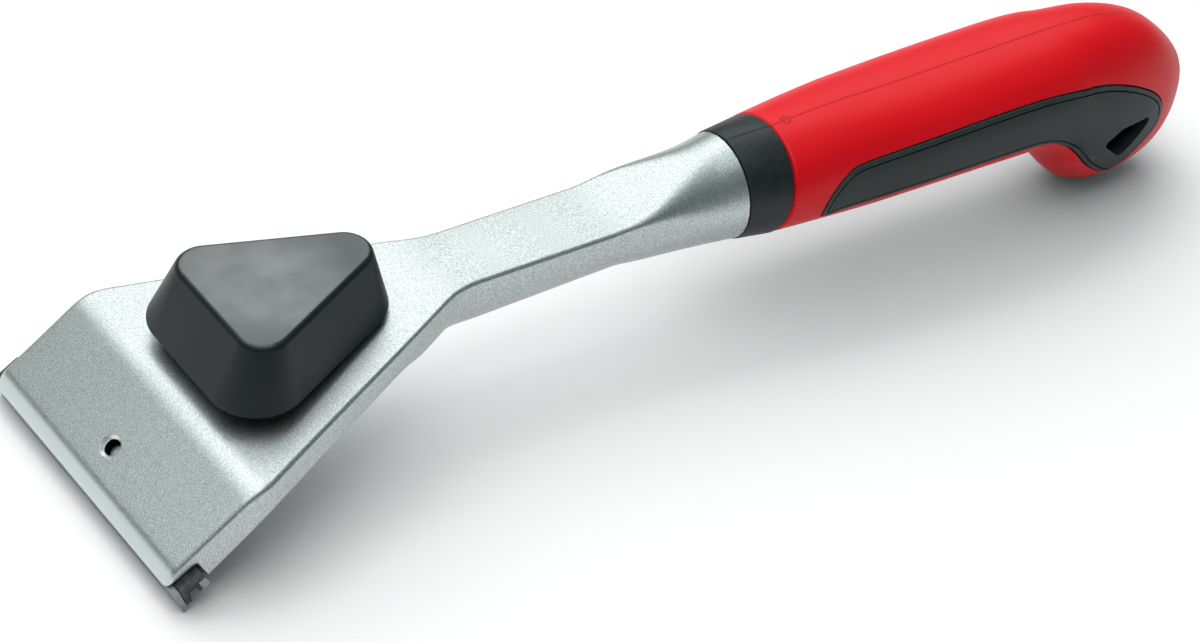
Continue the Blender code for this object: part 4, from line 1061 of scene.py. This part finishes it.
def grip_rings(depth=0.0):
    """Rings along the grip's outside, or along a surface that lies deeper."""
    side, plan = inset(side_curve, depth), inset(plan_curve, depth)
    length = GRIP_LENGTH - depth
    stations = [beak_x * i / SHAFT_STEPS for i in range(SHAFT_STEPS)]
    stations += [beak_x + (hook_x - beak_x) * i / HOOK_STEPS for i in range(HOOK_STEPS)]
    stations += [hook_x + (length - hook_x) * math.sin(math.pi / 2 * i / HOOK_STEPS)
                 for i in range(HOOK_STEPS + 1)]
    return [grip_ring(side, plan, x) for x in stations]


panel_points = [(GRIP_X + x * GRIP_LENGTH, z * GRIP_HEIGHT) for x, z in panel_shares]
panel_outline = curve_through(panel_points, PANEL_CURVE_STEPS, closed=True)


def window(clearance):
    """A prism on the near side over the panel's outline, set in by a clearance."""
    outline = inset(panel_outline, clearance)
    return loft([[(x, -y, z) for x, z in outline] for y in (0.0036, 0.0183)])


def side_at(x, z):
    """Half the grip's width at one place on its side."""
    along = x - GRIP_X
    low, high = span_at(side_curve, along)
    power = 2 / (2 + GRIP_SQUARENESS * min(1, along / GRIP_LENGTH / GRIP_FRONT_SHARE))
    rise = (2 * z - low - high) / (high - low)
    sine = min(0.98, abs(rise) ** (1 / power))
    hook = share_between(along, beak_x, HOOK_SHARE * GRIP_LENGTH)
    pinch = HOOK_PINCH * hook if rise < 0 else 0
    half_width = span_at(plan_curve, along)[1]
    return half_width * (1 - sine * sine) ** (power / 2) * (1 - pinch * sine * sine)


def groove(start, width, depth):
    """A closed band round the panel, square into the grip's side, its tight corners cut short."""
    outer, inner = inset(panel_outline, start), inset(panel_outline, start + width)
    edge = [Vector(point) for point in panel_outline]
    kept = [i for i, point in enumerate(inner)
            if min((Vector(point) - other).length for other in edge) > 0.98 * (start + width)]
    rings = []
    for bound, out in ((outer, -depth), (outer, 0.0008), (inner, 0.0008), (inner, -depth)):
        rings.append([(bound[i][0], -side_at(*bound[i]) - out, bound[i][1]) for i in kept])
    return loft(rings, wrapped=True)


def mirrored(mesh):
    """A mesh reflected in the tool's middle plane."""
    other = mesh.copy()
    other.transform(Matrix.Scale(-1, 4, (0, 1, 0)))
    other.flip_normals()
    return other


hollow_rings = grip_rings(SKIN_DEPTH - GAP)
mouth = [(x - OVERRUN, y, z) for x, y, z in hollow_rings[0]]
cavity = loft([mouth] + hollow_rings)
front_rings = []
for i in range(FILLET_STEPS + 1):
    angle = math.pi / 2 * i / FILLET_STEPS
    front_rings.append(grip_ring(side_curve, plan_curve, GRIP_EDGE * (1 - math.cos(angle)),
                                 GRIP_EDGE * (math.sin(angle) - 1)))
skin = carve(loft(front_rings + grip_rings()[1:]), (CUT, cavity), (CUT, window(0)),
             (CUT, mirrored(window(0))))
dress("red_grip", skin, "grip_skin", "scraper", red_skin)

# Side panels
# Soft dark inlays in the skin's windows, for the fingers, a little proud of it. A fine groove
# follows each one's edge, and the hanging hole runs through both.
PANEL_PROUD = 0.0002
GROOVE_START = 0.0011
GROOVE_WIDTH = 0.0003
GROOVE_DEPTH = 0.0004
HANG_HOLE_RADIUS = 0.0012
HANG_HOLE_REACH = 0.0163
hang_hole_shares = ((0.724, 0.442), (0.768, 0.508), (0.856, 0.502), (0.785, 0.300))
panel_dark, tree, shader, relief, toned = grained(
    "panel_dark", 0.5, 0.0, (36, 46, 46), grain_size=0.00025, patch_size=0.008,
    tones=((29, 39, 39), (42, 53, 53)), gloss=(0.46, 0.56), relief=0.00002, ior=1.4)
rub(tree, shader, toned, (60, 72, 72))
hole_outline = rounded_outline([(GRIP_X + x * GRIP_LENGTH, z * GRIP_HEIGHT, HANG_HOLE_RADIUS)
                                for x, z in hang_hole_shares])
hole = loft([[(x, y, z) for x, z in hole_outline] for y in (-HANG_HOLE_REACH, HANG_HOLE_REACH)])
inlay = carve(loft(grip_rings(-PANEL_PROUD)), (KEEP, window(GAP)), (CUT, cavity), (CUT, hole))
band = groove(GROOVE_START, GROOVE_WIDTH, GROOVE_DEPTH)
inlay = carve(inlay, (CUT, band), crossing=True)
dress("inlay_near", inlay, "side_panel_near", "scraper", panel_dark)
dress("inlay_far", mirrored(inlay), "side_panel_far", "scraper", panel_dark)
